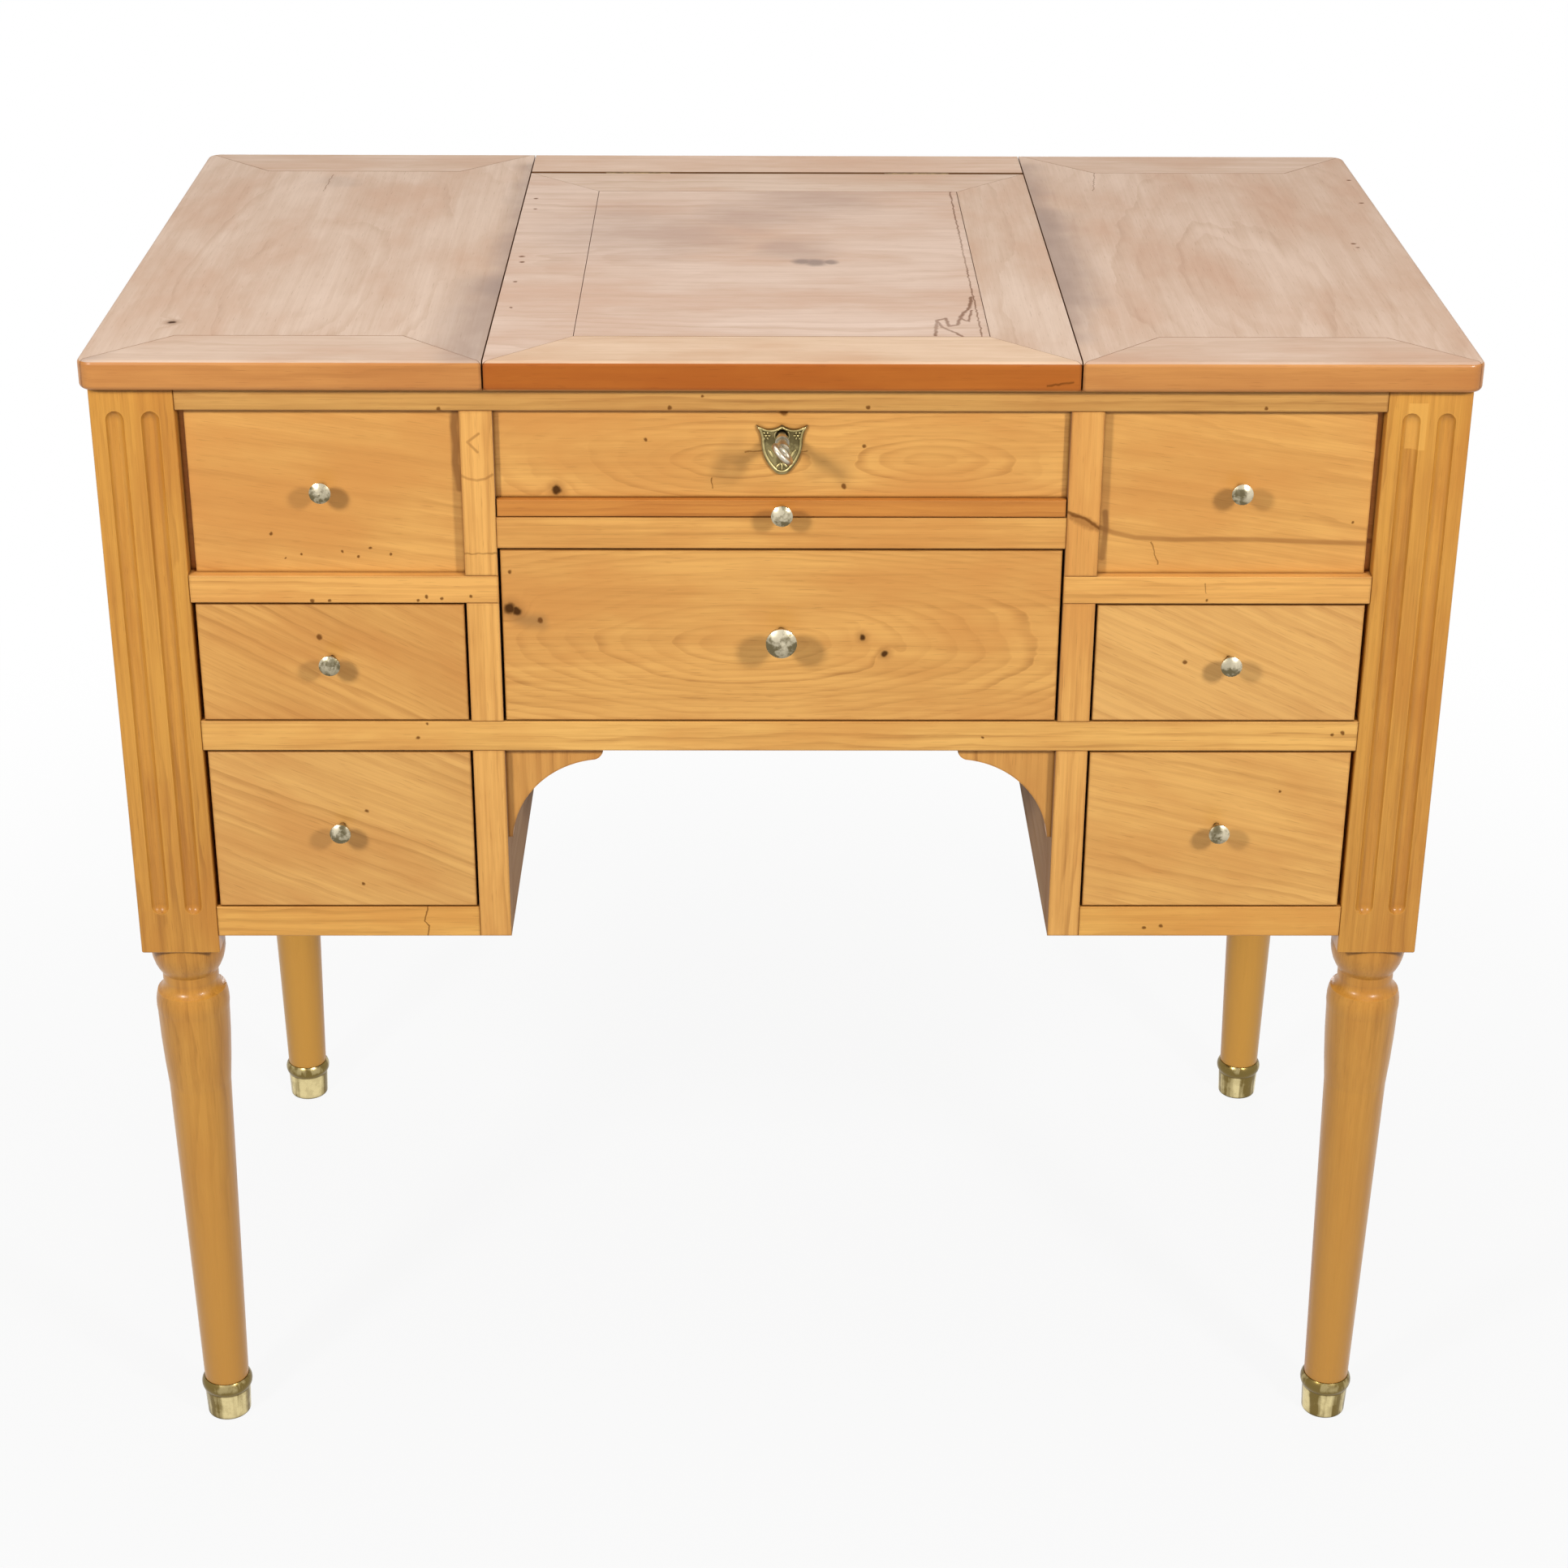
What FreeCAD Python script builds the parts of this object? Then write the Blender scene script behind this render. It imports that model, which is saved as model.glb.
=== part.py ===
"""Dressing table with a lifting mirror lid, two folding flaps, five drawers and a writing slide.

Millimetres, +Z up, front towards -Y. The origin lies on the floor under the middle of the bounding box.
"""
import FreeCAD
import Part
import math
import os

V = FreeCAD.Vector
X_AXIS = V(1, 0, 0)
Y_AXIS = V(0, 1, 0)
Z_AXIS = V(0, 0, 1)
ORIGIN = V(0, 0, 0)

# Overall sizes
table_height = 740.0
case_width = 782.0
case_depth = 456.0
top_thickness = 17.7
top_side_overhang = 4.0
top_front_overhang = 8.0
top_back_overhang = 8.0
leaf_rest_gap = 0.3

# How near an edge must lie to the place where it is sought
pick_distance = 0.01

# Front frame
post_width = 48.0
rail_depth = 22.0
stile_width = 19.0
centre_opening_width = 328.0
top_rail_height = 13.5
upper_opening_height = 100.0
middle_rail_height = 17.0
middle_opening_height = 75.5
main_rail_height = 19.0
lower_opening_height = 105.0
bottom_rail_height = 20.0
lock_panel_height = 53.0
slide_slot_height = 11.0
centre_rail_height = 19.0
arris_radius = 0.8

# Frame joinery
tenon_length = 18.0
tenon_thickness = 8.0
tenon_setback = 7.0
tenon_shoulder = 3.0
stile_tongue = 4.0
housing_depth = 5.0

# Turned legs
post_foot = 12.0
post_arris = 1.2
cushion_radius = 22.4
cushion_height = 23.0
neck_radius = 17.2
neck_height = 5.0
cove_height = 8.0
ring_radius = 22.5
ring_fillet = 1.4
ring_height = 14.0
shoulder_radius = 22.2
shoulder_height = 54.0
shoulder_foot_radius = 19.3
shoulder_fullness = 0.5
ankle_radius = 14.4

# Flutes of the posts
flute_pitch = 20.0
flute_width = 10.5
flute_depth = 3.5
flute_bottom_margin = 27.0
flute_top_margin = 14.0

# Foot cups
sabot_height = 29.0
sabot_bore_radius = 12.4
sabot_floor = 4.0
sabot_top_radius = 14.9
sabot_bottom_radius = 14.1
sabot_rounding = 1.6
sabot_bead_height = 9.5
sabot_bead_swell = 1.7

# Sides, back, partitions and floors
side_thickness = 14.0
side_top_rail_height = 45.0
side_bottom_rail_height = 40.0
side_panel_recess = 4.0
side_tongue_length = 8.0
side_tongue_thickness = 5.0
side_tongue_setback = 3.0
side_tenon_length = 12.0
back_thickness = 10.0
back_recess = 6.0
back_groove_depth = 8.0
well_floor_thickness = 8.0
centre_floor_thickness = 6.5
slide_shelf_thickness = 8.0
main_shelf_thickness = 10.0
pedestal_floor_thickness = 10.0
guide_height = 20.0

# False fronts and lock panel
false_front_recess = 6.0
false_front_thickness = 12.0
false_front_shadow_gap = 4.0
false_front_shadow_depth = 4.0
panel_tongue_setback = 4.0
panel_tongue_thickness = 5.0
lock_panel_recess = 5.0

# Kneehole brackets
bracket_recess = 6.0
bracket_thickness = 12.0
bracket_reach = 58.0
bracket_drop = 60.0
bracket_tip_height = 8.5
bracket_tip_run = 5.0
bracket_round_run = 1.25
bracket_round_drop = 6.0
bracket_foot_width = 2.5
bracket_hollow = 13.0

# Top leaves
lid_lap = 4.0
leaf_joint_gap = 0.8
back_strip_depth = 50.0
frame_member_width = 48.0
leaf_edge_radius = 3.0
flap_corner_radius = 9.0
mitre_gap = 0.3
panel_gap = 0.4
panel_tongue_length = 6.0
leaf_tongue_thickness = 6.0

# Hinges
hinge_length = 44.0
hinge_leaf_width = 13.0
hinge_leaf_thickness = 1.2
flap_knuckle_radius = 2.2
flap_pin_radius = 1.0
lid_knuckle_radius = 1.5
lid_pin_radius = 0.7
lid_joint_arris = 1.2
knuckle_bore_clearance = 0.05
knuckle_axial_gap = 0.2
knuckle_clearance = 0.35
flap_hinge_inset = 70.0
lid_hinge_centre = 95.0

# Mirror under the lid
mirror_inset = 4.0
mirror_thickness = 3.0
mirror_offset = 0.2
bead_width = 11.0
bead_height = 7.0
bead_lip = 4.0

# Drawers
drawer_recess = 1.0
drawer_front_thickness = 18.0
drawer_gap_top = 1.4
drawer_gap_bottom = 0.3
drawer_gap_post = 2.4
drawer_gap_side = 1.4
drawer_side_thickness = 9.0
drawer_side_drop = 7.0
drawer_bottom_thickness = 6.0
drawer_bottom_rise = 5.0
drawer_groove_depth = 4.0
drawer_back_gap = 14.0
drawer_front_arris = 1.2
dovetail_length = 12.0
dovetail_flare = 2.2
dovetail_pitch = 30.0
dovetail_neck = 16.0
dovetail_margin = 8.0

# Writing slide
slide_back_gap = 39.0
slide_side_gap = 0.6
slide_height_gap = 0.3
slide_recess = 0.5

# Knobs
small_knob_radius = 6.2
large_knob_radius = 9.0
small_knob_projection = 15.0
large_knob_projection = 22.0
knob_stem_share = 0.26
knob_under_share = 0.74
knob_cheek_share = 0.95
knob_head_share = 0.95
knob_dome_share = 0.30
knob_rise = 3.0

# Lock, escutcheon and key
keyhole_drop = 15.5
keyhole_radius = 3.3
keyhole_slot_width = 3.6
keyhole_slot_drop = 9.0
escutcheon_width = 29.2
escutcheon_height = 29.3
escutcheon_top_margin = 9.5
escutcheon_thickness = 1.4
escutcheon_scoop = 2.4
escutcheon_waist_width = 23.4
escutcheon_waist_drop = 11.0
escutcheon_waist_hollow = 0.9
escutcheon_belly = 1.8
escutcheon_tip_width = 8.4
escutcheon_tip_height = 1.8
lock_case_width = 48.0
lock_case_thickness = 11.0
lock_case_wall = 1.5
lock_case_below_key = 16.0
lock_case_top_gap = 1.0
lock_cavity_radius = 10.5
bolt_width = 14.0
bolt_thickness = 4.0
bolt_height = 18.0
bolt_clearance = 0.3
bolt_throw = 7.0
strike_width = 40.0
strike_depth = 14.0
strike_thickness = 1.2
strike_slot_clearance = 1.0
key_barrel_radius = 2.8
key_outside_length = 26.0
key_stop_offset = 12.5
key_collar_radius = 4.0
key_collar_height = 3.5
key_bow_width = 15.5
key_bow_wire = 1.7
key_bit_length = 9.0
key_bit_thickness = 2.4
key_bit_width = 5.0
key_rest_angle = 45.0

# Levels of the case from the top down
case_top = table_height - top_thickness - leaf_rest_gap
top_rail_bottom = case_top - top_rail_height
middle_rail_top = top_rail_bottom - upper_opening_height
middle_rail_bottom = middle_rail_top - middle_rail_height
main_rail_top = middle_rail_bottom - middle_opening_height
main_rail_bottom = main_rail_top - main_rail_height
lower_opening_bottom = main_rail_bottom - lower_opening_height
case_bottom = lower_opening_bottom - bottom_rail_height
post_bottom = case_bottom - post_foot
lock_panel_bottom = top_rail_bottom - lock_panel_height
centre_rail_top = lock_panel_bottom - slide_slot_height
centre_rail_bottom = centre_rail_top - centre_rail_height

# Places across the width
case_half = case_width / 2
post_inner = case_half - post_width
post_middle = case_half - post_width / 2
stile_inner = centre_opening_width / 2
stile_outer = stile_inner + stile_width
side_inner = case_half - side_thickness
top_half = case_half + top_side_overhang
lid_half = stile_inner + lid_lap

# Places from front to back
knob_reach = large_knob_projection - drawer_recess
key_reach = key_outside_length + key_bow_width - key_bow_wire + escutcheon_thickness - lock_panel_recess
front_reach = max(knob_reach, key_reach)
front_y = (front_reach - case_depth - top_back_overhang) / 2
back_y = front_y + case_depth
rail_back = front_y + rail_depth
post_front_back = front_y + post_width
post_back_front = back_y - post_width
back_inner = back_y - back_recess - back_thickness
top_front = front_y - top_front_overhang
top_back = back_y + top_back_overhang
lid_axis_y = top_back - back_strip_depth
lid_axis_z = table_height - lid_knuckle_radius
lid_back = lid_axis_y - lid_knuckle_radius
strip_front = lid_axis_y + lid_knuckle_radius
leaf_bottom = case_top + leaf_rest_gap
flap_axis_x = case_half + flap_knuckle_radius + knuckle_clearance
flap_axis_z = case_top + leaf_rest_gap / 2
flap_inner = lid_half + leaf_joint_gap / 2
lid_edge = lid_half - leaf_joint_gap / 2

# Lock places
lock_panel_front = front_y + lock_panel_recess
key_z = top_rail_bottom - keyhole_drop
lock_case_top = case_top - lock_case_top_gap
bolt_y = rail_back + lock_case_thickness / 2
bolt_top = lock_case_top
bolt_bottom = bolt_top - bolt_height


def box(x0, x1, y0, y1, z0, z1):
    return Part.makeBox(x1 - x0, y1 - y0, z1 - z0, V(x0, y0, z0))


def soft_box(x0, x1, y0, y1, z0, z1, radius=arris_radius):
    return round_edges(box(x0, x1, y0, y1, z0, z1), radius, lambda edge: edge.y < y0 + pick_distance)


def mirrored(shape):
    return shape.mirror(ORIGIN, X_AXIS)


def pair(shape):
    return [shape, mirrored(shape)]


def prism_xy(points, z0, z1):
    wire = Part.makePolygon([V(x, y, z0) for x, y in points + points[:1]])
    return Part.Face(wire).extrude(V(0, 0, z1 - z0))


def arc(start, middle, end):
    return Part.Arc(start, middle, end).toShape()


def line(start, end):
    return Part.makeLine(start, end)


def at(radius, z):
    """A point of a turned outline."""
    return V(radius, 0, z)


def revolved(edges):
    """A solid of revolution about Z from a closed outline of such points."""
    return Part.Face(Part.Wire(edges)).revolve(ORIGIN, Z_AXIS, 360)


def cut_all(body, tools):
    for tool in tools:
        body = body.cut(tool)
    return body


def round_edges(body, radius, chosen):
    """Rounds the edges whose middles are chosen."""
    return body.makeFillet(radius, [edge for edge in body.Edges if chosen(edge.CenterOfMass)])


def joined(body, additions):
    for addition in additions:
        body = body.fuse(addition)
    return body.removeSplitter()


def save(name, solids):
    shape = solids[0] if len(solids) == 1 else Part.makeCompound(solids)
    shape.exportStep(f"parts/{name}.step")


# Front rails and their tenons
def rail_tenon(z0, z1):
    """The right-hand tenon of a front rail, which is also the mortise in the post."""
    y0 = front_y + tenon_setback
    return box(post_inner, post_inner + tenon_length, y0, y0 + tenon_thickness,
               z0 + tenon_shoulder, z1 - tenon_shoulder)


def full_rail(z0, z1):
    body = soft_box(-post_inner, post_inner, front_y, rail_back, z0, z1)
    return joined(body, pair(rail_tenon(z0, z1)))


def side_rail_front(x0, z0, z1):
    body = soft_box(x0, post_inner, front_y, rail_back, z0, z1)
    return joined(body, [rail_tenon(z0, z1)])


rail_levels = [
    (top_rail_bottom, case_top),
    (middle_rail_bottom, middle_rail_top),
    (main_rail_bottom, main_rail_top),
    (case_bottom, lower_opening_bottom),
]


# Panels that sit in grooves of the front frame
def false_front_tongue():
    y0 = front_y + false_front_recess + panel_tongue_setback
    return box(stile_outer - stile_tongue, post_inner + stile_tongue, y0, y0 + panel_tongue_thickness,
               middle_rail_top, top_rail_bottom)


def lock_panel_tongue():
    half = stile_inner + stile_tongue
    y0 = lock_panel_front + panel_tongue_setback
    return box(-half, half, y0, y0 + panel_tongue_thickness, lock_panel_bottom, top_rail_bottom)


def centre_rail_tenon():
    half = stile_inner + stile_tongue
    y0 = front_y + tenon_setback
    return box(-half, half, y0, y0 + tenon_thickness,
               centre_rail_bottom + tenon_shoulder, centre_rail_top - tenon_shoulder)


# Side frames
def side_panel_tongue():
    """The thin edge of a side panel that runs in the grooves of the posts and side rails."""
    x0 = side_inner + side_tongue_setback
    reach = side_tongue_length
    return box(x0, x0 + side_tongue_thickness, post_front_back - reach, post_back_front + reach,
               case_bottom + side_bottom_rail_height - reach, case_top - side_top_rail_height + reach)


def side_rail_tenon(z0, z1):
    x0 = side_inner + side_tongue_setback
    reach = side_tenon_length
    return box(x0, x0 + side_tongue_thickness, post_front_back - reach, post_back_front + reach,
               z0 + tenon_shoulder, z1 - tenon_shoulder)


def side_rails():
    levels = [
        (case_top - side_top_rail_height, case_top),
        (case_bottom, case_bottom + side_bottom_rail_height),
    ]
    rails = []
    for z0, z1 in levels:
        body = box(side_inner, case_half, post_front_back, post_back_front, z0, z1)
        body = body.fuse(side_rail_tenon(z0, z1)).removeSplitter()
        rails.append(body.cut(side_panel_tongue()))
    rails[0] = cut_all(rails[0], [base.recess for base in flap_hinges])
    return rails


def side_panel():
    body = box(side_inner, case_half - side_panel_recess, post_front_back, post_back_front,
               case_bottom + side_bottom_rail_height, case_top - side_top_rail_height)
    return joined(body, [side_panel_tongue()])


# Back boards
def upper_back():
    half = post_inner + back_groove_depth
    return box(-half, half, back_inner, back_inner + back_thickness, main_rail_bottom, case_top)


def pedestal_back():
    return box(stile_inner, post_inner + back_groove_depth, back_inner, back_inner + back_thickness,
               case_bottom, main_rail_bottom)


# Leg posts
def turned_leg():
    z_cushion = post_bottom - cushion_height
    z_neck = z_cushion - neck_height
    z_ring = z_neck - cove_height
    z_shoulder = z_ring - ring_height
    z_shaft = z_shoulder - shoulder_height
    half_turn = math.sqrt(0.5)
    cushion_swell = at(neck_radius + (cushion_radius - neck_radius) * half_turn,
                       post_bottom - cushion_height * half_turn)
    cove_edge = ring_radius - ring_fillet
    cove_hollow = at(cove_edge - (cove_edge - neck_radius) * half_turn, z_ring + cove_height * (1 - half_turn))
    ring_swell = at(ring_radius, z_ring - ring_height / 2)
    shoulder_swell = at((shoulder_radius + shoulder_foot_radius) / 2 + shoulder_fullness,
                        (z_shoulder + z_shaft) / 2)
    top_centre = at(0, post_bottom)
    foot_centre = at(0, sabot_floor)
    return revolved([
        line(top_centre, at(cushion_radius, post_bottom)),
        arc(at(cushion_radius, post_bottom), cushion_swell, at(neck_radius, z_cushion)),
        line(at(neck_radius, z_cushion), at(neck_radius, z_neck)),
        arc(at(neck_radius, z_neck), cove_hollow, at(cove_edge, z_ring)),
        arc(at(cove_edge, z_ring), ring_swell, at(shoulder_radius, z_shoulder)),
        arc(at(shoulder_radius, z_shoulder), shoulder_swell, at(shoulder_foot_radius, z_shaft)),
        line(at(shoulder_foot_radius, z_shaft), at(ankle_radius, sabot_height)),
        line(at(ankle_radius, sabot_height), at(sabot_bore_radius, sabot_height)),
        line(at(sabot_bore_radius, sabot_height), at(sabot_bore_radius, sabot_floor)),
        line(at(sabot_bore_radius, sabot_floor), foot_centre),
        line(foot_centre, top_centre),
    ])


def sabot():
    rim = sabot_height
    bead = rim - sabot_bead_height
    bottom_edge = sabot_bottom_radius - sabot_rounding
    round_share = sabot_rounding * (1 - math.sqrt(0.5))
    round_middle = at(sabot_bottom_radius - round_share, round_share)
    return revolved([
        line(at(0, 0), at(bottom_edge, 0)),
        arc(at(bottom_edge, 0), round_middle, at(sabot_bottom_radius, sabot_rounding)),
        line(at(sabot_bottom_radius, sabot_rounding), at(sabot_top_radius, bead)),
        arc(at(sabot_top_radius, bead), at(sabot_top_radius + sabot_bead_swell, (bead + rim) / 2),
            at(sabot_top_radius, rim)),
        line(at(sabot_top_radius, rim), at(sabot_bore_radius, rim)),
        line(at(sabot_bore_radius, rim), at(sabot_bore_radius, sabot_floor)),
        line(at(sabot_bore_radius, sabot_floor), at(0, sabot_floor)),
        line(at(0, sabot_floor), at(0, 0)),
    ])


def flute(x, y):
    """A round-ended cutter standing upright at x, y."""
    z0 = post_bottom + flute_bottom_margin + flute_width / 2
    z1 = case_top - flute_top_margin - flute_width / 2
    radius = flute_radius
    cutter = Part.makeCylinder(radius, z1 - z0, V(x, y, z0), Z_AXIS)
    return joined(cutter, [Part.makeSphere(radius, V(x, y, z)) for z in (z0, z1)])


flute_radius = (flute_width ** 2 / 4 + flute_depth ** 2) / (2 * flute_depth)
flute_standoff = flute_radius - flute_depth


def leg_post(y_middle, face_y, mortises):
    """A right-hand leg post, fluted on its outer side and on its front where face_y is given."""
    half = post_width / 2
    body = box(post_inner, case_half, y_middle - half, y_middle + half, post_bottom, case_top)
    body = round_edges(body, post_arris, lambda edge: edge.z < case_top - pick_distance)
    turned = turned_leg()
    turned.translate(V(post_middle, y_middle, 0))
    body = body.fuse(turned).removeSplitter()
    for side in (-1, 1):
        offset = side * flute_pitch / 2
        body = body.cut(flute(case_half + flute_standoff, y_middle + offset))
        if face_y is not None:
            body = body.cut(flute(post_middle + offset, face_y - flute_standoff))
    return cut_all(body, mortises)


def front_leg():
    mortises = [rail_tenon(z0, z1) for z0, z1 in rail_levels]
    mortises += [false_front_tongue(), side_panel_tongue()]
    mortises += side_rail_tenons()
    return leg_post(front_y + post_width / 2, front_y, mortises)


def back_leg():
    mortises = [upper_back(), pedestal_back(), side_panel_tongue()]
    mortises += side_rail_tenons()
    return leg_post(back_y - post_width / 2, None, mortises)


def side_rail_tenons():
    return [
        side_rail_tenon(case_top - side_top_rail_height, case_top),
        side_rail_tenon(case_bottom, case_bottom + side_bottom_rail_height),
    ]


def sabots():
    cups = []
    for y_middle in (front_y + post_width / 2, back_y - post_width / 2):
        cup = sabot()
        cup.translate(V(post_middle, y_middle, 0))
        cups += pair(cup)
    return cups


# Boards inside the case
def clear_of_posts(board):
    for y0 in (front_y, post_back_front):
        board = board.cut(box(post_inner, case_half, y0, y0 + post_width, post_bottom, case_top))
        board = board.cut(box(-case_half, -post_inner, y0, y0 + post_width, post_bottom, case_top))
    return board


def side_well_floor():
    return clear_of_posts(box(stile_outer - housing_depth, side_inner, rail_back, back_inner,
                              middle_rail_top - well_floor_thickness, middle_rail_top))


def centre_well_floor():
    half = stile_inner + housing_depth
    return box(-half, half, rail_back, back_inner,
               lock_panel_bottom, lock_panel_bottom + centre_floor_thickness)


def slide_shelf():
    half = stile_inner + housing_depth
    return box(-half, half, rail_back, back_inner,
               centre_rail_top - slide_shelf_thickness, centre_rail_top)


def main_shelf():
    return clear_of_posts(box(-side_inner, side_inner, rail_back, back_inner,
                              main_rail_top - main_shelf_thickness, main_rail_top))


def pedestal_floor():
    return clear_of_posts(box(stile_outer - housing_depth, side_inner, rail_back, back_inner,
                              lower_opening_bottom - pedestal_floor_thickness, lower_opening_bottom))


def partition():
    board = box(stile_inner, stile_outer, rail_back, back_inner, main_rail_top, case_top)
    return cut_all(board, [side_well_floor(), centre_well_floor(), slide_shelf()])


def pedestal_side():
    board = box(stile_inner, stile_outer, rail_back, back_inner,
                case_bottom, main_rail_top - main_shelf_thickness)
    return board.cut(pedestal_floor())


def drawer_guides():
    guides = []
    for floor in (main_rail_top, lower_opening_bottom):
        guides += pair(box(post_inner, side_inner, post_front_back, post_back_front, floor, floor + guide_height))
    return guides


# Front stiles
def front_stiles():
    upper = soft_box(stile_inner, stile_outer, front_y, rail_back, middle_rail_top, top_rail_bottom)
    upper = cut_all(upper, [false_front_tongue(), lock_panel_tongue(), centre_rail_tenon()])
    middle = soft_box(stile_inner, stile_outer, front_y, rail_back, main_rail_top, middle_rail_bottom)
    lower = soft_box(stile_inner, stile_outer, front_y, rail_back, case_bottom, main_rail_bottom)
    return pair(upper) + pair(middle) + pair(lower)


def centre_rail():
    body = soft_box(-stile_inner, stile_inner, front_y, rail_back, centre_rail_bottom, centre_rail_top)
    return joined(body, [centre_rail_tenon()])


# False fronts, lock panel and brackets
def false_front():
    y0 = front_y + false_front_recess
    body = box(stile_outer, post_inner, y0, y0 + false_front_thickness, middle_rail_top, top_rail_bottom)
    shadow = box(post_inner - false_front_shadow_gap, post_inner, y0, y0 + false_front_shadow_depth,
                 middle_rail_top, top_rail_bottom)
    return joined(body.cut(shadow), [false_front_tongue()])


def keyhole(y0, y1):
    """The keyhole cut, a round head over a straight slot, from y0 to y1."""
    head = Part.makeCylinder(keyhole_radius, y1 - y0, V(0, y0, key_z), Y_AXIS)
    slot = box(-keyhole_slot_width / 2, keyhole_slot_width / 2, y0, y1, key_z - keyhole_slot_drop, key_z)
    return head.fuse(slot)


def lock_panel():
    body = box(-stile_inner, stile_inner, lock_panel_front, rail_back, lock_panel_bottom, top_rail_bottom)
    body = joined(body, [lock_panel_tongue()])
    return body.cut(keyhole(lock_panel_front, rail_back))


def bracket():
    """The right-hand corner bracket: a rounded tip, then a hollow curve down to the stile."""
    y0 = front_y + bracket_recess

    def on_face(x, z):
        return V(x, y0, z)

    corner = on_face(stile_inner, main_rail_bottom)
    tip_x = stile_inner - bracket_reach
    tip_top = on_face(tip_x, main_rail_bottom)
    tip_end = on_face(tip_x + bracket_tip_run, main_rail_bottom - bracket_tip_height)
    tip_round = on_face(tip_x + bracket_round_run, main_rail_bottom - bracket_round_drop)
    foot_in = on_face(stile_inner - bracket_foot_width, main_rail_bottom - bracket_drop)
    foot_out = on_face(stile_inner, main_rail_bottom - bracket_drop)
    middle = (tip_end + foot_in) * 0.5
    chord = foot_in - tip_end
    outward = V(-chord.z, 0, chord.x)
    outward.normalize()
    hollow = middle + outward * bracket_hollow
    outline = Part.Wire([
        line(corner, tip_top),
        arc(tip_top, tip_round, tip_end),
        arc(tip_end, hollow, foot_in),
        line(foot_in, foot_out),
        line(foot_out, corner),
    ])
    return Part.Face(outline).extrude(V(0, bracket_thickness, 0))


# Knobs
def dome_arc(radius, shoulder, crown):
    """The outline of a shallow dome, a circle centred on the turning axis."""
    rise = crown - shoulder
    sphere = (radius ** 2 + rise ** 2) / (2 * rise)
    half_angle = math.asin(radius / sphere) / 2
    middle = V(sphere * math.sin(half_angle), 0, crown - sphere * (1 - math.cos(half_angle)))
    return arc(V(radius, 0, shoulder), middle, V(0, 0, crown))


def knob(x, y_face, z, radius, projection):
    """A turned knob on a front face: a slim stem and a round head with a shallow dome."""
    stem = radius * knob_stem_share
    under = radius * knob_under_share
    head_back = projection - radius * knob_head_share
    shoulder = projection - radius * knob_dome_share
    cheek = at(radius * knob_cheek_share, (head_back + shoulder) / 2)
    body = revolved([
        line(at(0, 0), at(stem, 0)),
        line(at(stem, 0), at(stem, head_back)),
        line(at(stem, head_back), at(under, head_back)),
        arc(at(under, head_back), cheek, at(radius, shoulder)),
        dome_arc(radius, shoulder, projection),
        line(at(0, projection), at(0, 0)),
    ])
    body.rotate(ORIGIN, X_AXIS, 90)
    body.translate(V(x, y_face, z))
    return body


def false_front_knobs():
    x = (stile_outer + post_inner) / 2
    z = (middle_rail_top + top_rail_bottom) / 2 + knob_rise
    return pair(knob(x, front_y + false_front_recess, z, small_knob_radius, small_knob_projection))


# Escutcheon, lock and key
def escutcheon():
    """A shield with two scoops along its top, hollow to the waist, full below it, and a keyhole."""
    y0 = lock_panel_front
    top = top_rail_bottom - escutcheon_top_margin
    bottom = top - escutcheon_height
    half = escutcheon_width / 2
    waist = escutcheon_waist_width / 2
    waist_z = top - escutcheon_waist_drop
    tip = escutcheon_tip_width / 2
    tip_z = bottom + escutcheon_tip_height

    def on_face(x, z):
        return V(x, y0, z)

    edges = []
    for side in (-1, 1):
        horn = on_face(side * half, top)
        hip = on_face(side * waist, waist_z)
        toe = on_face(side * tip, tip_z)
        hollow = on_face(side * ((half + waist) / 2 - escutcheon_waist_hollow), (top + waist_z) / 2)
        belly = on_face(side * ((waist + tip) / 2 + escutcheon_belly), (waist_z + tip_z) / 2)
        edges.append(arc(on_face(0, top), on_face(side * half / 2, top - escutcheon_scoop), horn))
        edges.append(arc(horn, hollow, hip))
        edges.append(arc(hip, belly, toe))
    edges.append(arc(on_face(-tip, tip_z), on_face(0, bottom), on_face(tip, tip_z)))
    outline = Part.Wire(Part.__sortEdges__(edges))
    plate = Part.Face(outline).extrude(V(0, -escutcheon_thickness, 0))
    return plate.cut(keyhole(y0 - escutcheon_thickness, y0))


def lock_case():
    half = lock_case_width / 2
    y0 = rail_back
    y1 = y0 + lock_case_thickness
    body = box(-half, half, y0, y1, key_z - lock_case_below_key, lock_case_top)
    cavity = Part.makeCylinder(lock_cavity_radius, lock_case_thickness - 2 * lock_case_wall,
                               V(0, y0 + lock_case_wall, key_z), Y_AXIS)
    slot_half = bolt_width / 2 + bolt_clearance
    slot_depth = bolt_thickness / 2 + bolt_clearance
    slot = box(-slot_half, slot_half, bolt_y - slot_depth, bolt_y + slot_depth, key_z, lock_case_top)
    body = body.cut(cavity.fuse(slot))
    return body.cut(keyhole(y0, y0 + lock_case_wall))


def lock_bolt():
    half = bolt_width / 2
    return box(-half, half, bolt_y - bolt_thickness / 2, bolt_y + bolt_thickness / 2, bolt_bottom, bolt_top)


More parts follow.
